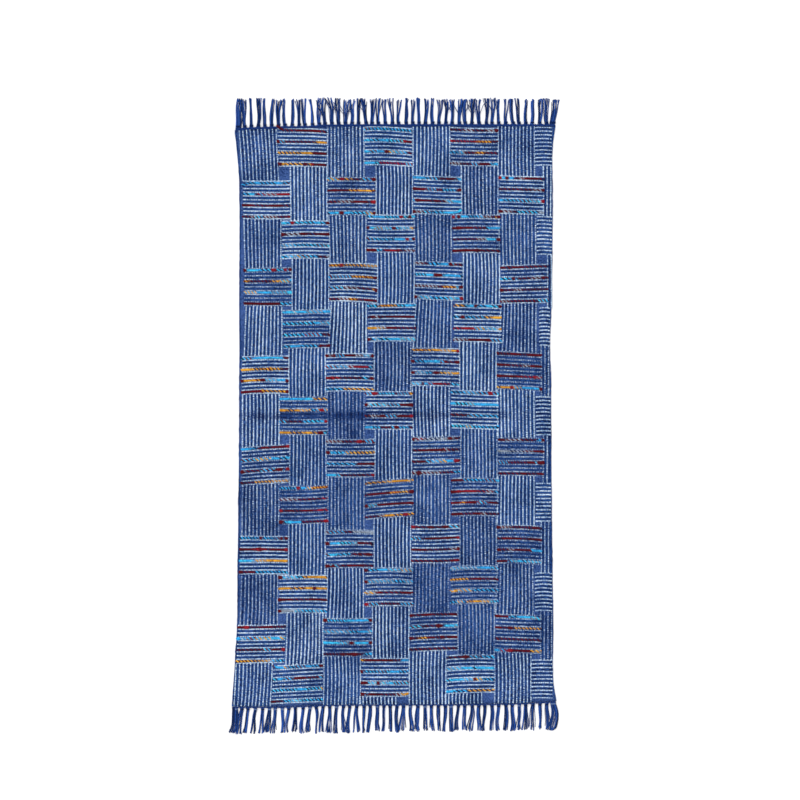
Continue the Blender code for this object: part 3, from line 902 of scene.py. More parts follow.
@dataclass
class BlockPlan:
    """The pattern's plan: bands of lying blocks with standing blocks between them."""
    outline: Outline
    block_width: float = 108 * MM
    block_height: float = 85.5 * MM
    block_pitch: float = 191.7 * MM
    odd_start: float = -258 * MM
    even_start: float = -344.5 * MM
    selvedge: float = 3 * MM
    far_room: float = 1.5 * MM
    near_room: float = 0.6 * MM
    cut_block_width: float = 77 * MM
    bow: float = 1.9 * MM
    slant: float = 1.6 * MM
    weights: tuple[float, float] = (0.82, 1.1)
    fade: float = 0.6
    cut_fade: float = 0.3
    dye: float = 0.5
    flare_share: float = 0.75
    flare_reach: float = 200 * MM
    middle_left: float = -348 * MM
    draw_in_start: float = 240 * MM
    draw_in_reach: float = 100 * MM
    seed: int = 1232

    def __post_init__(self) -> None:
        """Lay out every block, each with its seeded bow, slant, weight and tones."""
        rng = random.Random(self.seed)
        self.blocks = [self.varied(shape, rng) for shape in self.lying_shapes() + self.standing_shapes()]

    def varied(self, shape: tuple, rng: random.Random) -> Block:
        """Make a block of a shape with its own small faults. Cut lying blocks stay crisp."""
        is_cut = shape[0] is Lay.LYING and shape[2][0] - shape[1][0] < self.cut_block_width
        return Block(
            *shape,
            bow=rng.uniform(-0.6, 1.0) * self.bow,
            slant=rng.uniform(-1.0, 1.0) * self.slant * (shape[0] is Lay.STANDING),
            weight=rng.uniform(*self.weights),
            fade=rng.random() ** 1.5 * self.fade * (self.cut_fade if is_cut else 1.0),
            dye=rng.uniform(0.0, self.dye),
        )

    def left(self, band: int, place: int) -> float:
        """Give a lying block's left end. Bands past the ends repeat the last of their kind."""
        band = band + 2 if band < 1 else band - 2 if band > len(BANDS) else band
        start = self.odd_start if band % 2 else self.even_start
        x = self.drawn_in(start + BANDS[band - 1].shift * MM + (place - 1) * self.block_pitch, band)
        return max(x, self.outline.left_at(BANDS[band - 1][place] * MM) + self.selvedge)

    def right(self, band: int, place: int) -> float:
        """Give a lying block's right end, which for a cut block is the selvedge."""
        if band % 2 and place == 4:
            middle = BANDS[band - 1][place] * MM - self.block_height / 2
            return self.outline.right_at(middle) - self.selvedge / 2
        if place > 1 or band % 2:
            return self.drawn_in(self.left(band, place) + self.block_width, band)
        return self.even_start + BANDS[band - 1].shift * MM + self.block_width

    def far_edge(self, band: int, place: int, x: float) -> float:
        """Give a lying block's far edge, or the near end of the field past the last band."""
        if band > len(BANDS):
            return self.outline.end_at(End.NEAR, x) + self.near_room
        tilt = TILTED_BLOCKS.get((band, place), 0) * MM
        share = (x - self.left(band, place)) / self.block_width - 0.5
        return BANDS[band - 1][place] * MM + tilt * share

    def near_edge(self, band: int, place: int, x: float) -> float:
        """Give a lying block's near edge, or the far end of the field before the first band."""
        if band < 1:
            return self.outline.end_at(End.FAR, x) - self.far_room
        return self.far_edge(band, place, x) - self.block_height

    def quad(self, lay: Lay, xs: Sequence[float], far: Edge, near: Edge) -> tuple:
        """Give a block's lay and corners from its four corner places across and its two edges.

        Args:
            lay: how its stripes run.
            xs: its far left, far right, near left and near right places across.
            far: its far edge at a place across.
            near: its near edge at a place across.

        Returns:
            The lay and the four corners.
        """
        corners = ((xs[0], far(xs[0])), (xs[1], far(xs[1])), (xs[2], near(xs[2])), (xs[3], near(xs[3])))
        return (lay, *((self.flared(x, y), y) for x, y in corners))

    def flared(self, x: float, y: float) -> float:
        """Give where a place across moves to: it follows the left selvedge's flare at the corners."""
        flare = self.outline.left_at(y) - self.middle_left
        closeness = max(0.0, 1 - ((x - self.middle_left) / self.flare_reach) ** 2)
        return x + self.flare_share * flare * closeness

    def drawn_in(self, x: float, band: int) -> float:
        """Give where a place across moves to: the weave draws in a little towards the right selvedge."""
        share = max(0.0, x - self.draw_in_start) / self.draw_in_reach
        return x - BANDS[band - 1].draw_in * MM * share ** 2

    def lying_shapes(self) -> list[tuple]:
        """Lay out the lying blocks, cut ones last in their band."""
        shapes = []
        for band in range(1, len(BANDS) + 1):
            for place in range(1, 5):
                left, right = self.left(band, place), self.right(band, place)
                far = lambda x, b=band, p=place: self.far_edge(b, p, x)
                near = lambda x, b=band, p=place: max(
                    self.near_edge(b, p, x), self.outline.end_at(End.NEAR, x) + self.near_room)
                shapes.append(self.quad(Lay.LYING, (left, right, left, right), far, near))
        return shapes

    def standing_shapes(self) -> list[tuple]:
        """Lay out the standing blocks between the lying ones, and two short ones past the last band."""
        shapes = []
        for band in range(1, len(BANDS) + 1):
            for place in range(1, 5):
                far = lambda x, b=band, p=place: self.near_edge(b - 1, p, x)
                near = lambda x, b=band, p=place: self.far_edge(b + 1, p, x)
                shapes.append(self.quad(Lay.STANDING, self.standing_sides(band, place), far, near))
        last = len(BANDS)
        for place in (2, 3):
            left = self.left(last, place)
            far = lambda x, p=place: self.near_edge(last, p, x)
            near = lambda x, p=place: self.far_edge(last + 1, p, x)
            shapes.append(self.quad(Lay.STANDING, (left, left + self.cut_block_width) * 2, far, near))
        return shapes

    def standing_sides(self, band: int, place: int) -> tuple[float, ...]:
        """Give a standing block's far left, far right, near left and near right places across.

        Args:
            band: the band that it stands in.
            place: its place in the band, from 1 at the left.

        Returns:
            The four places.
        """
        if band % 2:
            right = self.left(band, place)
            return self.left(band - 1, place), right, self.left(band + 1, place), right
        left = self.right(band, place)
        return (left, self.left(band, place + 1) if place < 4 else left + self.cut_block_width) * 2

    def whole_lying(self) -> list[tuple[int, Block]]:
        """Give the lying blocks that carry thick yarns, each with its band."""
        lying = [block for block in self.blocks if block.lay is Lay.LYING]
        numbered = enumerate(lying)
        return [(index // 4 + 1, block) for index, block in numbered if index // 4 % 2 or index % 4 < 3]


@dataclass
class FieldCloth:
    """The woven ground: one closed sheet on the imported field's outline."""
    outline: Outline
    top: float = 3.3 * MM
    ripple: float = 0.15 * MM
    edge_round: float = 0.9 * MM
    columns: int = 72
    rows: int = 132
    seed: int = 3

    def row_points(self, down: float) -> list[Point]:
        """Give one row of points from selvedge to selvedge, bent to both ends' headers."""
        points = []
        for column in range(self.columns + 1):
            share = column / self.columns
            far_left, far_right = self.outline.corners(End.FAR)
            near_left, near_right = self.outline.corners(End.NEAR)
            x_far = far_left + (far_right - far_left) * share
            x_near = near_left + (near_right - near_left) * share
            y_far, y_near = self.outline.end_at(End.FAR, x_far), self.outline.end_at(End.NEAR, x_near)
            y = y_far * (1 - down) + y_near * down
            left, right = self.outline.left_at(y), self.outline.right_at(y)
            points.append((left + (right - left) * share, y))
        return points

    def build(self, material: bpy.types.Material) -> bpy.types.Object:
        """Build the closed sheet and dress it.

        Args:
            material: the ground's finish.

        Returns:
            The cloth.
        """
        rng = np.random.default_rng(self.seed)
        grid = np.array([self.row_points(row / self.rows) for row in range(self.rows + 1)])
        wide = self.columns + 1
        high = self.rows + 1
        heights = self.top + rng.uniform(-self.ripple, self.ripple, (high, wide))
        heights -= CREASE_DEPTH * np.exp(-(grid[:, :, 1] / CREASE_HALF) ** 2)
        heights[[0, -1], :] = heights[:, [0, -1]] = self.top - self.edge_round
        top = np.dstack([grid, heights]).reshape(-1, 3)
        base = np.dstack([grid, np.zeros((high, wide))]).reshape(-1, 3)
        ring = list(range(wide))
        ring += [row * wide + wide - 1 for row in range(1, high)]
        ring += [(high - 1) * wide + column for column in range(wide - 2, -1, -1)]
        ring += [row * wide for row in range(high - 2, 0, -1)]
        faces = []
        count = wide * high
        for row in range(self.rows):
            for column in range(self.columns):
                a = row * wide + column
                quad = (a, a + wide, a + wide + 1, a + 1)
                faces.append(quad)
                faces.append(tuple(count + corner for corner in reversed(quad)))
        for here, after in zip(ring, ring[1:] + ring[:1]):
            faces.append((here, after, count + after, count + here))
        mesh = bpy.data.meshes.new("field_cloth")
        mesh.from_pydata([tuple(point) for point in np.concatenate([top, base])], [], faces)
        mesh.materials.append(material)
        mesh.shade_smooth()
        return place_piece("field_cloth", mesh)


@dataclass
class Stripes:
    """The woven stripes of every block: off-white lines with blue ribs between them."""
    plan: BlockPlan
    trees: Trees
    standing_pitch: float = 8.15 * MM
    points: int = 7
    end_room: float = 2 * MM
    line_z: float = 3.35 * MM
    line_half: float = 1.7 * MM
    line_pick: float = 5 * MM
    line_flatness: float = 0.45
    line_dips: tuple[float, float] = (0.28, 0.42)
    rib_z: float = 3.1 * MM
    rib_half: float = 2.5 * MM
    rib_pick: float = 12 * MM
    rib_flatness: float = 0.42
    rib_dip: float = 0.12
    weights: tuple[float, float] = (0.9, 1.08)
    most_faded: float = 0.12
    side_places: tuple[float, float] = (-300 * MM, 200 * MM)
    side_shares: tuple[float, float] = (0.8, 0.35)
    selvedge_inset: float = 1.6 * MM
    selvedge_room: float = 1.2 * MM
    selvedge_drop: float = 0.5 * MM
    selvedge_weight: float = 0.7
    selvedge_points: int = 120
    seed: int = 21

    def place(self, block: Block, line: float) -> float:
        """Give a line's place over its block, from 0 to 1.

        At the rug's left, standing lines keep to the right of their block, and at its right to the middle.
        """
        if block.lay is Lay.LYING:
            spare = 1 - LYING_PITCH * GAPS / (block.far_left[1] - block.near_left[1])
            return spare / 2 + line / GAPS * (1 - spare)
        left = (block.far_left[0] + block.near_left[0]) / 2
        width = (block.far_right[0] + block.near_right[0]) / 2 - left
        spare = 1 - self.standing_pitch * GAPS / width
        return spare * np.interp(left, self.side_places, self.side_shares) + line / GAPS * (1 - spare)

    def path(self, block: Block, line: float) -> np.ndarray | None:
        """Give a stripe's path, or nothing where it would pass the selvedge.

        Args:
            block: the block that holds the stripe.
            line: its place counted in lines, halfway between two for a rib.

        Returns:
            The path in the cloth's plane.
        """
        share = self.place(block, line)
        steps = np.linspace(0.0, 1.0, self.points)
        if block.lay is Lay.LYING:
            path = np.array([block.at(step, share) for step in steps])
            path[0, 0] += self.end_room
            return path
        path = np.array([block.at(share, step) for step in steps])
        limit = self.plan.outline.right_at(path[0, 1]) - self.selvedge_room
        return path if path[:, 0].max() < limit else None

    def strand(self, path: np.ndarray, z: float, weight: float, fade: float, rng: random.Random) -> Strand:
        """Make a stripe's strand at a height, with a seeded phase."""
        points = np.column_stack([path, np.full(len(path), z)])
        values = {"phase": rng.uniform(0, math.pi), "weight": weight * rng.uniform(*self.weights)}
        return Strand(points, {**values, "fade": fade + rng.uniform(0, self.most_faded)})

    def line_strands(self, lay: Lay, rng: random.Random) -> list[Strand]:
        """Give the off-white lines of all blocks of one lay."""
        strands = []
        for block in self.plan.blocks:
            if block.lay is not lay:
                continue
            for line in range(LINES):
                path = self.path(block, line)
                if path is not None:
                    strands.append(self.strand(path, self.line_z, block.weight, block.fade, rng))
        return strands

    def rib_strands(self, lay: Lay, rng: random.Random) -> list[Strand]:
        """Give the blue ribs of all blocks of one lay, apart from those that a thick yarn covers."""
        covered = {id(block) for _, block in self.plan.whole_lying()}
        strands = []
        for block in self.plan.blocks:
            if block.lay is not lay:
                continue
            for rib in range(GAPS):
                path = self.path(block, rib + 0.5)
                if path is None or (id(block) in covered and rib in YARN_GAPS):
                    continue
                strands.append(self.strand(path, self.rib_z, 1.0, block.dye, rng))
        return strands

    def selvedge_strands(self, rng: random.Random) -> list[Strand]:
        """Give the two selvedge ribs."""
        outline = self.plan.outline
        strands = []
        for edge, side, order in ((outline.left_at, 1, outline.left), (outline.right_at, -1, outline.right)):
            ys = np.linspace(order[0, 0] + self.end_room, order[-1, 0] - self.end_room, self.selvedge_points)
            path = np.array([(edge(y) + side * self.selvedge_inset, y) for y in ys])
            height = self.rib_z - self.selvedge_drop
            strands.append(self.strand(path, height, self.selvedge_weight, 0.0, rng))
        return strands

    def build(self, white: bpy.types.Material, blue: bpy.types.Material) -> list[bpy.types.Object]:
        """Grow the lines and ribs.

        Args:
            white: the off-white lines' finish.
            blue: the blue ribs' finish.

        Returns:
            The pieces.
        """
        rng = random.Random(self.seed)
        pieces = []
        for lay, dip in zip(Lay, self.line_dips):
            name = f"{lay.name.lower()}_lines"
            pieces.append(self.trees.stripe.grow(
                name, guide_mesh(name, self.line_strands(lay, rng)), white, Half_Width=self.line_half,
                Pick_Length=self.line_pick, Flatness=self.line_flatness, Dip=dip))
            name = f"{lay.name.lower()}_ribs"
            ribs = self.rib_strands(lay, rng)
            if lay is Lay.STANDING:
                ribs += self.selvedge_strands(rng)
            pieces.append(self.trees.stripe.grow(
                name, guide_mesh(name, ribs), blue, Half_Width=self.rib_half,
                Pick_Length=self.rib_pick, Flatness=self.rib_flatness, Dip=self.rib_dip))
        return pieces


class YarnTint(Enum):
    """The dyed tints of the thick yarns."""
    MAROON = (0.092, 0.003, 0.008)
    RED = (0.25, 0.008, 0.018)
    SKY = (0.035, 0.42, 0.95)
    GOLD = (0.72, 0.32, 0.03)
    SAND = (0.3, 0.36, 0.46)
    NAVY = (0.008, 0.02, 0.085)


# How often each tint turns up in the thick yarns
TINT_SHARES = {
    YarnTint.MAROON: 9,
    YarnTint.SKY: 7,
    YarnTint.GOLD: 3,
    YarnTint.RED: 1,
    YarnTint.SAND: 1,
}

# What the larger lumps are dyed: None leaves the plies their own tints
LUMP_TINTS = (YarnTint.MAROON, YarnTint.MAROON, YarnTint.MAROON, YarnTint.RED, None)

# Yarn ends that curl away: band, block, yarn, end (-1 is the left one), and how far along the rug
CURLED_ENDS = (
    (1, 1, 0, -1, 10 * MM),
    (13, 1, 0, -1, 5 * MM),
    (12, 4, 0, 1, -5 * MM),
    (2, 3, 3, 1, 4 * MM),
    (2, 1, 0, -1, -5 * MM),
)


@dataclass
class ThickYarns:
    """The thick two-ply yarns that float on the lying blocks."""
    plan: BlockPlan
    trees: Trees
    points: int = 40
    end_room: float = 0.2 * MM
    end_share: float = 0.02
    end_sink: float = 0.6 * MM
    kick_share: float = 0.05
    kicks: tuple[float, float] = (1.3 * MM, 3 * MM)
    straight_share: float = 0.65
    curl_share: float = 0.09
    curl_lift: float = 1.6 * MM
    axis_z: float = 3.4 * MM
    lump_lift: float = 1.6 * MM
    girths: tuple[float, float] = (0.92, 1.1)
    unevenness: float = 0.06
    wave_turns: tuple[float, float] = (9.0, 24.0)
    lump_counts: tuple[int, ...] = (0, 0, 1, 1, 2)
    lump_places: tuple[float, float] = (0.08, 0.92)
    lump_sizes: tuple[float, float] = (0.15, 0.72)
    lump_reaches: tuple[float, float] = (0.022, 0.05)
    least_dyed_lump: float = 0.35
    end_lump: float = 0.025
    left_lump_share: float = 0.4
    right_lump_share: float = 0.55
    run: tuple[float, float] = (22 * MM, 95 * MM)
    partner_run: tuple[float, float] = (7 * MM, 34 * MM)
    partner_shares: tuple[float, float, float] = (0.42, 0.68, 0.8)
    favour: float = 0.65
    shades: tuple[float, float] = (0.72, 1.2)
    flecks: tuple[float, float] = (0.55, 1.55)
    wind: tuple[float, float] = (0.75, 1.2)
    curled_ends: tuple[tuple[int, int, int, int, float], ...] = CURLED_ENDS
    seed: int = 77

    def pick_tint(self, favourites: Sequence[YarnTint], rng: random.Random) -> YarnTint:
        """Pick a run's tint, mostly from the block's favourites."""
        if favourites and rng.random() < self.favour:
            return rng.choice(favourites)
        return rng.choices(list(TINT_SHARES), list(TINT_SHARES.values()))[0]

    def partner_tint(self, first: YarnTint, rng: random.Random) -> YarnTint:
        """Pick the tint that winds round another: mostly navy, or the same, or pale, or any."""
        draw = rng.random()
        navy, same, sand = self.partner_shares
        if draw < navy:
            return YarnTint.NAVY
        if draw < same:
            return first
        return YarnTint.SAND if draw < sand else self.pick_tint((), rng)

    def ply_tints(self, length: float, favourites: Sequence[YarnTint], rng: random.Random) -> np.ndarray:
        """Give both plies' tints at each point, each in its own runs of uneven length.

        Args:
            length: the yarn's length.
            favourites: the block's usual tints.
            rng: the seeded source.

        Returns:
            One colour a point for each of the two plies.
        """
        tints = np.ones((2, self.points, 4))
        reach = [-1.0, -1.0]
        current = [YarnTint.MAROON, YarnTint.NAVY]
        shade = [1.0, 1.0]
        for index in range(self.points):
            place = index * length / self.points
            for ply, run in enumerate((self.run, self.partner_run)):
                if place > reach[ply]:
                    picked = self.partner_tint(current[0], rng) if ply else self.pick_tint(favourites, rng)
                    current[ply] = picked
                    shade[ply] = rng.uniform(*self.shades)
                    reach[ply] = place + rng.uniform(*run)
                fleck = shade[ply] * rng.uniform(*self.flecks)
                tints[ply, index, :3] = [min(1.0, part * fleck) for part in current[ply].value]
        return tints

    def add_lumps(self, tints: Sequence[np.ndarray], rng: random.Random) -> np.ndarray:
        """Give the yarn's thickness along it, and dye most of its larger lumps.

        Args:
            tints: both plies' tints, changed in place where a dyed lump is.
            rng: the seeded source.

        Returns:
            The thickness at each point.
        """
        steps = np.linspace(0.0, 1.0, self.points)
        swell = np.full(self.points, rng.uniform(*self.girths))
        swell += self.unevenness * np.sin(steps * rng.uniform(*self.wave_turns))
        places = [rng.uniform(*self.lump_places) for _ in range(rng.choice(self.lump_counts))]
        places += [self.end_lump] * (rng.random() < self.left_lump_share)
        places += [1 - self.end_lump] * (rng.random() < self.right_lump_share)
        for place in places:
            size = rng.uniform(*self.lump_sizes)
            reach = rng.uniform(*self.lump_reaches)
            swell += size * np.exp(-((steps - place) / reach) ** 2)
            if size > self.least_dyed_lump:
                tint = rng.choice(LUMP_TINTS)
                for ply in tints if tint else ():
                    ply[np.abs(steps - place) < reach * 1.3, :3] = tint.value
        return swell

    def strand(
        self, block: Block, gap: int, curled: tuple[int, float], favourites: Sequence[YarnTint],
        rng: random.Random,
    ) -> Strand:
        """Lay one yarn over a block.

        Args:
            block: the lying block.
            gap: the gap between lines that the yarn covers.
            curled: which end curls away, -1 for the left one, and how far along the rug.
            favourites: the block's usual tints.
            rng: the seeded source.

        Returns:
            The yarn.
        """
        steps = np.linspace(0.0, 1.0, self.points)
        down = 0.5 + (gap + 0.5 - GAPS / 2) * LYING_PITCH / self.plan.block_height
        path = np.array([block.at(step, down) for step in steps])
        length = path[-1, 0] - path[0, 0]
        path[:, 0] = path[0, 0] + self.end_room + steps * (length - 2 * self.end_room)
        most = self.kicks[rng.random() >= self.straight_share]
        flick = rng.uniform(-most, most)
        kick = np.clip((steps - 1 + self.kick_share) / self.kick_share, 0, 1) * flick
        nearness = (self.end_share - np.minimum(steps, 1 - steps)) / self.end_share
        side, throw = curled
        curl = np.exp(-((steps if side < 0 else 1 - steps) / self.curl_share) ** 1.5)
        path[:, 1] += kick + throw * curl
        tints = self.ply_tints(length, favourites, rng)
        swell = self.add_lumps(tints, rng)
        heights = self.axis_z - np.clip(nearness, 0, 1) * self.end_sink
        heights = heights + np.maximum(swell - 1, 0) * self.lump_lift + curl * self.curl_lift * (throw != 0)
        values = {"phase": rng.uniform(0, math.tau), "swell": swell, "wind": rng.uniform(*self.wind)}
        values |= {"tint_a": tints[0], "tint_b": tints[1]}
        return Strand(np.column_stack([path, heights]), values)

    def strands(self, parity: int, rng: random.Random) -> list[Strand]:
        """Give the yarns of the odd or the even bands."""
        strands = []
        curls = {(band, place, yarn): (side, throw) for band, place, yarn, side, throw in self.curled_ends}
        place = last_band = 0
        for band, block in self.plan.whole_lying():
            if band % 2 != parity:
                continue
            place = place + 1 if band == last_band else 1
            last_band = band
            favourites = [self.pick_tint((), rng) for _ in range(3)]
            for number, gap in enumerate(YARN_GAPS):
                curled = curls.get((band, place, number), (1, 0.0))
                strands.append(self.strand(block, gap, curled, favourites, rng))
        return strands

    def build(self, material: bpy.types.Material) -> list[bpy.types.Object]:
        """Grow the thick yarns, as one piece for the odd bands and one for the even."""
        rng = random.Random(self.seed)
        pieces = []
        for name, parity in (("thick_yarns_odd", 1), ("thick_yarns_even", 0)):
            guide = guide_mesh(name, self.strands(parity, rng))
            pieces.append(self.trees.plied.grow(name, guide, material))
        return pieces


class Tassel(NamedTuple):
    """One tassel: where its knot is, how wide, how many locks, and how its tip leans and spreads."""
    centre: float
    width: float
    locks: int
    lean: float
    spread: float


class Habit(NamedTuple):
    """How one tassel lies: its reach, its root's foot, its bend, and how its tip splits in clumps."""
    reach: float
    foot: float
    bend: float
    wave: float
    clumps: int
    fork: float
    fork_from: float
    girth: float
    drift: float


@dataclass
class Fringe:
    """One end's twined header, knots and tassels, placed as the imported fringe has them."""
    end: End
    outline: Outline
    trees: Trees
    header_radius: float
    header_gap: float
    header_rows: int
    # The twined rows
    header_row_pitch: float = 2.1 * MM
    header_inset: float = 2 * MM
    header_z: float = 2.6 * MM
    header_row_rise: float = 0.9 * MM
    header_turn: float = 11 * MM
    header_points: int = 160
    header_dyes: tuple[Colour, Colour] = ((0.008, 0.026, 0.115), (0.015, 0.045, 0.18))
    # Where the tassels stand and how far they reach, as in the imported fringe
    tassels_per_end: int = 48
    knot_width: float = 6 * MM
    corner_width: float = 12 * MM
    knot_slope: float = 1.4 * MM
    jitter: float = 1.3 * MM
    spread: tuple[float, float] = (5.5 * MM, 9 * MM)
    corner_spread: float = 12 * MM
    straight_corner_lean: float = 3 * MM
    lean_spread: float = 2.5 * MM
    near_left_lean: float = 6 * MM
    two_lock_share: float = 0.45
    plan_seed: int = 27
    yarn_seed: int = 63
    shortfall: float = 4.5 * MM
    near_right_shortfall: float = 6 * MM
    knot_out: float = 4.2 * MM
    knot_z: float = 2.9 * MM
    far_knot_shift: Point = (1.3 * MM, 0.9 * MM)
    # How far a knot turns with its tassel's lean, and its dyes
    knot_turn: float = 12.0
    knot_navy: Colour = (0.003, 0.012, 0.06)
    knot_pale: Colour = (0.13, 0.19, 0.36)
    pale_share: float = 0.3
    # How each tassel lies, drawn within these
    yarn_radius: float = 0.95 * MM
    lower_yarns: int = 5
    near_overreach: float = 3.5 * MM
    corner_bulge: float = 5.5 * MM
    bulged_fork: float = 0.98
    bulged_girth: float = 1.9
    far_foot: tuple[float, float] = (-1.0 * MM, 3.2 * MM)
    near_foot: tuple[float, float] = (-1.2 * MM, 1.2 * MM)
    bend: float = 2.2 * MM
    wave: float = 0.9 * MM
    drift: float = 3.2 * MM
    forks: tuple[float, float] = (1.0 * MM, 6.0 * MM)
    latest_fork: float = 0.5
    weights: tuple[float, float] = (0.7, 1.1)
    share_jitter: float = 0.06
    tip_unevenness: float = 1.7 * MM
    upper_shortfall: float = 3 * MM
    yarn_stray: float = 0.7 * MM
    yarn_bow: float = 0.4 * MM
    tip_curl: float = 1.1 * MM
    # How a tassel gathers at its knot and opens to its tip: shares and powers
    gathering: float = 0.86
    neck_share: float = 1.06
    flare: float = 0.45
    corner_flare: float = 0.12
    widest_tip: float = 1.2
    tip_share: float = 0.74
    tip_room: float = 0.6 * MM
    opening: float = 0.7
    leaning: float = 1.15
    clumping: float = 0.72
    # How its yarns rise over the knot and lie in two layers
    root_z: float = 1.9 * MM
    hump_reach: float = 0.06
    hump_share: float = 0.7
    clearance: float = 1.02
    least_clearance: float = 1.01
    layer_rise: float = 1.55
    layer_sag: float = 0.35
    loosening: float = 0.3
    blue: Colour = (0.015, 0.046, 0.18)
    faintest: float = 0.3
    brightening: float = 2.6
    # The strays: how many a tassel has, how thick they are and how they wander
    far_strays: tuple[int, ...] = (0, 1, 2, 2, 3)
    near_strays: tuple[int, ...] = (1, 2, 2, 3, 4)
    crossing_strays: tuple[int, ...] = (1, 2, 3, 4)
    stray_weights: tuple[float, float] = (0.6, 0.95)
    stray_shortfall: float = 9 * MM
    stray_throw: float = 5 * MM
    stray_wave: float = 1.8 * MM
    crossing_weights: tuple[float, float] = (0.65, 1.0)
    crossing_reaches: tuple[float, float] = (-14 * MM, 1 * MM)
    crossing_swings: tuple[float, float] = (6 * MM, 17 * MM)
    crossing_wave: float = 2.5 * MM
    crossing_turn: float = 5 * MM
    crossing_rise: float = 2.2 * MM
    stray_shade: float = 0.65
    points: int = 14
    girths: tuple[float, float] = (0.6, 1.35)
    span_across: float = 738 * MM
    half_along: float = 712.5 * MM
    tangled: tuple[Point, ...] = ((-165 * MM, -50 * MM), (100 * MM, 240 * MM))

    @property
    def name(self) -> str:
        """Give the end's word for piece names."""
        return self.end.name.lower()

    @property
    def limit(self) -> float:
        """Give how far along the rug the tips may reach."""
        return self.half_along + (self.near_overreach if self.end is End.NEAR else 0.0)

    def header_at(self, across: float) -> float:
        """Give the header line's place along the rug."""
        return self.outline.end_at(self.end, across) + self.end.value * self.header_gap

    def tassels(self) -> list[Tassel]:
        """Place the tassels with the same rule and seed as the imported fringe."""
        rng = random.Random(self.plan_seed + self.end.value)
        left, right = self.outline.corners(self.end)
        first = left + self.corner_width / 2 + self.knot_slope
        last = right - self.corner_width / 2 - self.knot_slope
        tassels = []
        for index in range(self.tassels_per_end):
            share = index / (self.tassels_per_end - 1)
            centre = first + (last - first) * share
            if index in (0, self.tassels_per_end - 1):
                outer = -1 if index == 0 else 1
                lean = self.corner_lean(outer, centre)
                tassels.append(Tassel(centre, self.corner_width, 4, lean, self.corner_spread))
                continue
            centre += rng.uniform(-self.jitter, self.jitter)
            lean = rng.uniform(-self.lean_spread, self.lean_spread)
            if self.end is End.NEAR:
                lean -= self.near_left_lean * max(0.0, 1 - 2 * share)
            locks = 2 if rng.random() < self.two_lock_share else 3
            tassels.append(Tassel(centre, self.knot_width, locks, lean, rng.uniform(*self.spread)))
        return tassels

    def corner_lean(self, outer: int, centre: float) -> float:
        """Give a corner tassel's lean: two splay to the rug's full width, and two hang straight."""
        if self.end.value * outer > 0:
            return outer * (self.span_across / 2 - self.corner_spread / 2) - centre
        return -outer * self.straight_corner_lean

    def habit(self, tassel: Tassel, share: float, rng: random.Random) -> Habit:
        """Draw how a tassel lies.

        Args:
            tassel: the tassel.
            share: its place over the rug's width, from 0 to 1.
            rng: the seeded source.

        Returns:
            The tassel's habit.
        """
        slant = (self.near_right_shortfall + self.near_overreach) * share if self.end is End.NEAR else 0.0
        full = self.limit - abs(self.header_at(tassel.centre)) - slant
        is_corner = tassel.width > self.knot_width
        is_bulged = is_corner and self.end is End.NEAR and share > 0.5
        clumps = (2, 3) if tassel.locks == 3 else (1, 2)
        return Habit(
            reach=full - rng.uniform(0, self.shortfall),
            foot=rng.uniform(*(self.far_foot if self.end is End.FAR else self.near_foot)),
            bend=self.corner_bulge if is_bulged else rng.uniform(-self.bend, self.bend),
            wave=rng.uniform(-self.wave, self.wave),
            clumps=(1 if is_bulged else 3) if is_corner else rng.choice(clumps),
            fork=rng.uniform(*self.forks),
            fork_from=self.bulged_fork if is_bulged else rng.uniform(0.0, self.latest_fork),
            girth=(self.bulged_girth if is_bulged else 1.0) if is_corner else rng.uniform(*self.girths),
            drift=0.0 if is_corner else rng.uniform(-self.drift, self.drift),
        )

    def fray(self, points: np.ndarray, girth: float, rng: random.Random) -> np.ndarray:
        """Let one yarn stray from its tassel, the more the nearer its tip."""
        loose = np.linspace(0.0, 1.0, len(points))
        stray = rng.gauss(0, self.yarn_stray) * girth * loose ** 1.3
        curl = rng.gauss(0, self.tip_curl) * loose ** 7
        points[:, 0] += stray + curl + rng.gauss(0, self.yarn_bow) * np.sin(math.pi * loose)
        return points

    def path(self, tassel: Tassel, habit: Habit, share: float, reach: float, layer: int) -> np.ndarray:
        """Lay one yarn of a tassel from the cloth, through its knot, to its tip on the floor.

        Args:
            tassel: the tassel it belongs to.
            habit: how the tassel lies.
            share: its place over the tassel, from -0.5 to 0.5.
            reach: how far from the header its tip lies.
            layer: 0 where it lies on the floor and 1 on top of the others.

        Returns:
            The yarn's points.
        """
        steps = np.linspace(0.0, 1.0, self.points)
        neck = self.knot_out / reach
        loose = np.clip((steps - neck) / (1 - neck), 0.0, 1.0)
        root = np.clip(1 - steps / neck, 0.0, 1.0)
        forked = np.clip((loose - habit.fork_from) / (1 - habit.fork_from), 0.0, 1.0)
        is_corner = tassel.width > self.knot_width
        gathered = tassel.width * self.gathering
        flare = gathered * (self.corner_flare if is_corner else self.flare)
        tip = min(tassel.spread, tassel.width * self.widest_tip) * self.tip_share + self.tip_room
        width = gathered * self.neck_share + flare * root
        width = width + (tip * habit.girth - gathered) * loose ** self.opening
        across = tassel.centre + share * width + (tassel.lean + habit.drift) * loose ** self.leaning
        across = across + habit.foot * root ** 2 * (not is_corner) + habit.bend * np.sin(math.pi * loose)
        clump = (min(int((share + 0.5) * habit.clumps), habit.clumps - 1) + 0.5) / habit.clumps - 0.5
        across = across + habit.wave * np.sin(2 * math.pi * loose)
        across = across + ((clump - share) * width * self.clumping + clump * 2 * habit.fork) * forked
        along = np.array([self.header_at(x) for x in across]) + self.end.value * reach * steps
        hump = np.exp(-((steps - neck) / self.hump_reach) ** 2)
        floor = self.yarn_radius * (self.clearance + self.layer_rise * layer * (1 - self.layer_sag * loose))
        height = floor + (self.knot_z - floor) * self.hump_share * hump + (self.root_z - floor) * root
        return np.column_stack([across, along, np.maximum(height, self.yarn_radius * self.least_clearance)])

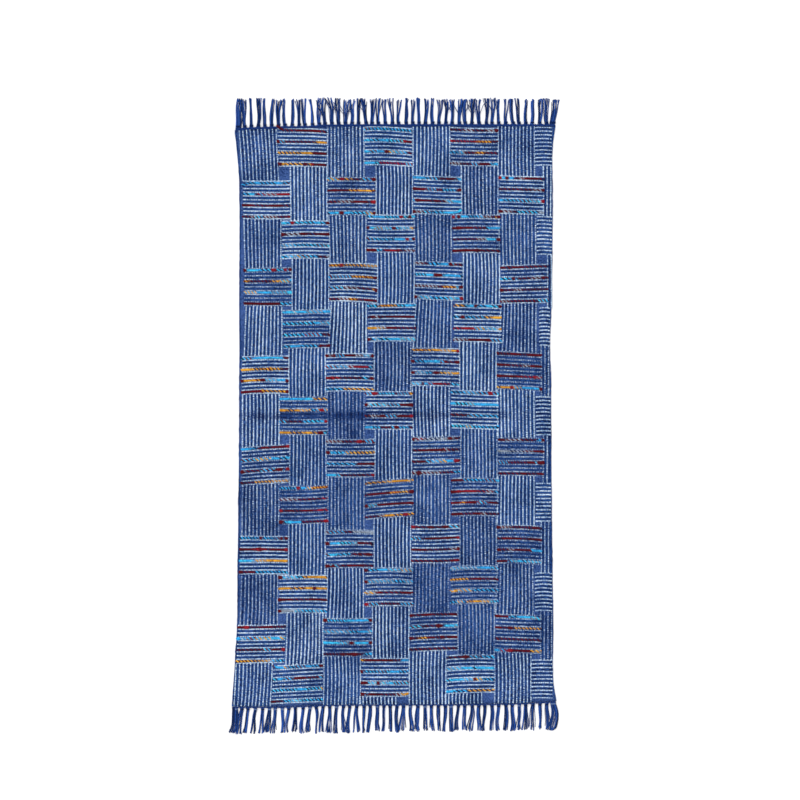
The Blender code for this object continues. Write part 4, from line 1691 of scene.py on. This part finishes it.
    def shade(self, rng: random.Random) -> np.ndarray:
        """Draw one yarn's blue."""
        brightness = rng.uniform(self.faintest, 1.0) ** 2 * self.brightening
        return np.array([*(part * brightness for part in self.blue), 1.0])

    def strand(self, points: np.ndarray, weight: float, tint: np.ndarray) -> Strand:
        """Make a strand that has one tint and loosens, so that it swells, towards its cut tip."""
        swell = 1 + self.loosening * np.linspace(0.0, 1.0, len(points)) ** 2
        points[:, 2] = np.maximum(points[:, 2], self.yarn_radius * weight * swell)
        return Strand(points, {"weight": weight * swell, "tint": np.outer(np.ones(len(points)), tint)})

    def bundle(self, tassel: Tassel, habit: Habit, rng: random.Random) -> list[Strand]:
        """Lay the yarns of one tassel in two layers.

        Args:
            tassel: the tassel.
            habit: how it lies.
            rng: the seeded source.

        Returns:
            Its yarns.
        """
        lower = round(self.lower_yarns * tassel.width / self.knot_width)
        strands = []
        for layer, count in ((0, lower), (1, lower - 1)):
            for index in range(count):
                share = (index + 0.5 * layer) / (lower - 1) - 0.5
                share += rng.uniform(-self.share_jitter, self.share_jitter)
                reach = habit.reach - abs(rng.gauss(0, self.tip_unevenness))
                reach -= layer * rng.uniform(0, self.upper_shortfall)
                points = self.fray(self.path(tassel, habit, share, reach, layer), habit.girth, rng)
                strands.append(self.strand(points, rng.uniform(*self.weights), self.shade(rng)))
        return strands

    def stray(self, tassel: Tassel, habit: Habit, rng: random.Random) -> Strand:
        """Lay a thin stray yarn that wanders off beside its tassel.

        Args:
            tassel: the tassel.
            habit: how it lies.
            rng: the seeded source.

        Returns:
            The yarn.
        """
        loose = np.linspace(0.0, 1.0, self.points)
        side = rng.choice((-0.5, 0.5))
        points = self.path(tassel, habit, side, habit.reach - rng.uniform(0, self.stray_shortfall), 0)
        points[:, 0] += rng.uniform(-self.stray_throw, self.stray_throw) * loose ** 1.4
        points[:, 0] += rng.uniform(-self.stray_wave, self.stray_wave) * np.sin(4 * loose)
        return self.strand(points, rng.uniform(*self.stray_weights), self.shade(rng) * self.stray_shade)

    def crossing_stray(self, tassel: Tassel, habit: Habit, rng: random.Random) -> Strand:
        """Lay a stray yarn that turns away and crosses the next tassels.

        Args:
            tassel: the tassel.
            habit: how it lies.
            rng: the seeded source.

        Returns:
            The yarn.
        """
        loose = np.linspace(0.0, 1.0, self.points)
        share = rng.uniform(-0.4, 0.4)
        points = self.path(tassel, habit, share, habit.reach + rng.uniform(*self.crossing_reaches), 1)
        swing = rng.choice((-1, 1)) * rng.uniform(*self.crossing_swings)
        start = rng.uniform(0.2, 0.6)
        bent = np.clip((loose - start) / (1 - start), 0.0, 1.0)
        wave = rng.uniform(-self.crossing_wave, self.crossing_wave)
        points[:, 0] += swing * bent ** 1.3 + wave * np.sin(7 * bent)
        points[:, 1] -= self.end.value * rng.uniform(0, self.crossing_turn) * bent ** 2
        points[:, 2] += self.crossing_rise * np.sin(math.pi * bent) ** 2
        return self.strand(points, rng.uniform(*self.crossing_weights), self.shade(rng) * self.stray_shade)

    def strays(self, tassel: Tassel, habit: Habit, rng: random.Random) -> list[Strand]:
        """Lay a tassel's strays, with crossing ones where the far fringe is tangled."""
        is_far = self.end is End.FAR
        count = rng.choice(self.far_strays if is_far else self.near_strays)
        strands = [self.stray(tassel, habit, rng) for _ in range(count)]
        if is_far and any(low < tassel.centre < high for low, high in self.tangled):
            count = rng.choice(self.crossing_strays)
            strands += [self.crossing_stray(tassel, habit, rng) for _ in range(count)]
        return strands

    def yarn_strands(self) -> list[Strand]:
        """Lay all the yarns of the tassels, with their strays."""
        rng = random.Random(self.yarn_seed + self.end.value)
        strands = []
        for number, tassel in enumerate(self.tassels()):
            habit = self.habit(tassel, number / self.tassels_per_end, rng)
            strands += self.bundle(tassel, habit, rng) + self.strays(tassel, habit, rng)
        for strand in strands:
            reach = self.end.value * strand.points[:, 1]
            strand.points[:, 1] = self.end.value * np.minimum(reach, self.limit)
        return strands

    def knot_guide(self) -> bpy.types.Mesh:
        """Place the knots' wraps round the tassels' necks, two on a wide corner tassel."""
        strands = []
        for tassel in self.tassels():
            wraps = round(tassel.width / self.knot_width)
            for index in range(wraps):
                x = tassel.centre + ((index + 0.5) / wraps - 0.5) * tassel.width * 0.8
                y = self.header_at(x) + self.end.value * self.knot_out
                if self.end is End.FAR:
                    x, y = x + self.far_knot_shift[0], y + self.far_knot_shift[1]
                lean = -tassel.lean * self.knot_turn
                strands.append(Strand(np.array([[x, y, self.knot_z]]), {"lean": lean}))
        return guide_mesh(f"{self.name}_knots", strands)

    def header_strand(self, row: int) -> Strand:
        """Lay one twined row from corner to corner: the first beyond the cloth's edge, the next on it."""
        left, right = self.outline.corners(self.end)
        xs = np.linspace(left + self.header_inset, right - self.header_inset, self.header_points)
        back = self.end.value * self.header_row_pitch * row
        height = self.header_z + self.header_row_rise * row
        points = np.array([(x, self.header_at(x) - back, height) for x in xs])
        dark, light = (np.outer(np.ones(len(xs)), (*dye, 1.0)) for dye in self.header_dyes)
        swell = 1 + 0.12 * np.sin(np.linspace(0, 90, len(xs))) * np.cos(np.linspace(0, 37, len(xs)))
        values = {"phase": 1.9 * row, "swell": swell, "wind": 1.0, "tint_a": dark, "tint_b": light}
        return Strand(points, values)

    def dye_knots(self, knots: bpy.types.Object) -> None:
        """Give the knots their navy. Some at the near end take in a pale warp end."""
        rng = random.Random(self.yarn_seed)
        count = sum(round(tassel.width / self.knot_width) for tassel in self.tassels())
        size = len(knots.data.vertices) // count
        tints = []
        for _ in range(count):
            is_pale = self.end is End.NEAR and rng.random() < self.pale_share
            tints.append((*(self.knot_pale if is_pale else self.knot_navy), 1.0))
        attribute = knots.data.attributes.new("tint", "FLOAT_COLOR", "POINT")
        attribute.data.foreach_set("color", np.repeat(np.array(tints, np.float32), size, axis=0).ravel())

    def build(self, yarn: bpy.types.Material) -> list[bpy.types.Object]:
        """Grow the header, the knots and the tassels' yarns.

        Args:
            yarn: the finish of all three.

        Returns:
            The pieces.
        """
        rows = guide_mesh(f"{self.name}_header", [self.header_strand(row) for row in range(self.header_rows)])
        header = self.trees.plied.grow(
            f"{self.name}_header", rows, yarn, Ply_Radius=self.header_radius, Throw=self.header_radius * 0.75,
            Lift=self.header_radius * 0.65, Turn_Length=self.header_turn, Drift=0.0)
        knots = self.trees.wrap.grow(f"{self.name}_knots", self.knot_guide(), yarn)
        self.dye_knots(knots)
        tassels = self.trees.strand.grow(
            f"{self.name}_tassels", guide_mesh(f"{self.name}_tassels", self.yarn_strands()), yarn,
            Radius=self.yarn_radius)
        return [header, knots, tassels]


@dataclass
class Studio:
    """The pale floor, the soft lights and the camera straight above."""
    floor_half: float = 4.0
    floor_z: float = -0.2 * MM
    pixel: float = 2.24 * MM
    picture_side: int = 800
    rug_column: float = 394.2
    rug_row: float = 415.4
    lens_mm: float = 100.0
    sensor_mm: float = 36.0
    sky: float = 1.0
    sun_strength: float = 1.35
    sun_spread: float = math.radians(40)
    sun_turn: tuple[float, float, float] = (math.radians(-32), math.radians(-30), 0.0)

    def build_floor(self) -> None:
        """Lay the floor."""
        half = self.floor_half
        mesh = bpy.data.meshes.new("floor")
        corners = [(-half, -half, self.floor_z), (half, -half, self.floor_z)]
        corners += [(half, half, self.floor_z), (-half, half, self.floor_z)]
        mesh.from_pydata(corners, [], [(0, 1, 2, 3)])
        mesh.materials.append(FloorFinish().material())
        place_piece("floor", mesh)

    def build_lights(self) -> None:
        """Set an even white sky and one soft, wide light from the far left."""
        world = bpy.data.worlds.new("studio")
        world.use_nodes = True
        back = world.node_tree.nodes["Background"]
        back.inputs["Color"].default_value = (1.0, 1.0, 1.0, 1.0)
        back.inputs["Strength"].default_value = self.sky
        bpy.context.scene.world = world
        lamp = bpy.data.lights.new("key", "SUN")
        lamp.energy = self.sun_strength
        lamp.angle = self.sun_spread
        key = bpy.data.objects.new("key", lamp)
        key.rotation_euler = self.sun_turn
        bpy.context.scene.collection.objects.link(key)

    def build_camera(self) -> None:
        """Set the camera above the rug, framed as the photograph is."""
        data = bpy.data.cameras.new("camera")
        data.lens = self.lens_mm
        data.sensor_width = self.sensor_mm
        camera = bpy.data.objects.new("camera", data)
        middle = self.picture_side / 2
        width = self.picture_side * self.pixel
        right, ahead = (middle - self.rug_column) * self.pixel, (self.rug_row - middle) * self.pixel
        camera.location = (right, ahead, width * self.lens_mm / self.sensor_mm)
        bpy.context.scene.collection.objects.link(camera)
        bpy.context.scene.camera = camera
        bpy.context.scene.view_settings.view_transform = "Standard"

    def build(self) -> None:
        """Build the whole stage."""
        self.build_floor()
        self.build_lights()
        self.build_camera()


def report(pieces: Sequence[bpy.types.Object]) -> None:
    """Ride each piece on the rug's one body and log it."""
    for piece in pieces:
        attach(piece, ROOT_BODY)
        triangles = sum(len(face.vertices) - 2 for face in piece.data.polygons)
        log.info("%s: %d triangles", piece.name, triangles)


def main() -> None:
    """Build the stage and every piece of the rug."""
    logging.basicConfig(level=logging.INFO, format="%(name)s: %(message)s")
    Studio().build()
    effects = Effects()
    trees = Trees()
    # The ground blends from its deep to its pale colour by its mottle, darkened by the painted shade of the
    # weave's dips and of the fold
    ground = ClothFinish("blue_ground", (0.002, 0.014, 0.075), (0.083, 0.165, 0.45)).material(effects)
    white = StripeFinish(
        "white_picks", (0.155, 0.29, 0.5), (0.67, 0.81, 0.96), dip=(0.008, 0.034, 0.15)).material(effects)
    blue = StripeFinish(
        "blue_picks", (0.002, 0.012, 0.07), (0.022, 0.082, 0.29), dip=(0.002, 0.008, 0.05)).material(effects)
    # The spun yarns' pale colours are their painted highlight on the spin's ridges
    twisted = TwistFinish("thick_yarn", (0.01, 0.01, 0.02), (0.9, 0.9, 0.9), roughness=0.8).material(effects)
    cotton = TwistFinish("fringe_cotton", (0.004, 0.018, 0.09), (0.5, 0.7, 1.0)).material(effects)

    outline = Outline(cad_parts["field"])
    plan = BlockPlan(outline)
    cloth = FieldCloth(outline).build(ground)
    woven = Stripes(plan, trees).build(white, blue)
    woven += ThickYarns(plan, trees).build(twisted)
    far = Fringe(End.FAR, outline, trees, 1.1 * MM, header_gap=1.8 * MM, header_rows=2).build(cotton)
    near = Fringe(End.NEAR, outline, trees, 0.85 * MM, header_gap=1.4 * MM, header_rows=1).build(cotton)

    report([cloth, *woven])
    report([*far, *near])
    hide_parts("field")
    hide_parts("fringe_far")
    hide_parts("fringe_near")


if __name__ == "__main__":
    main()
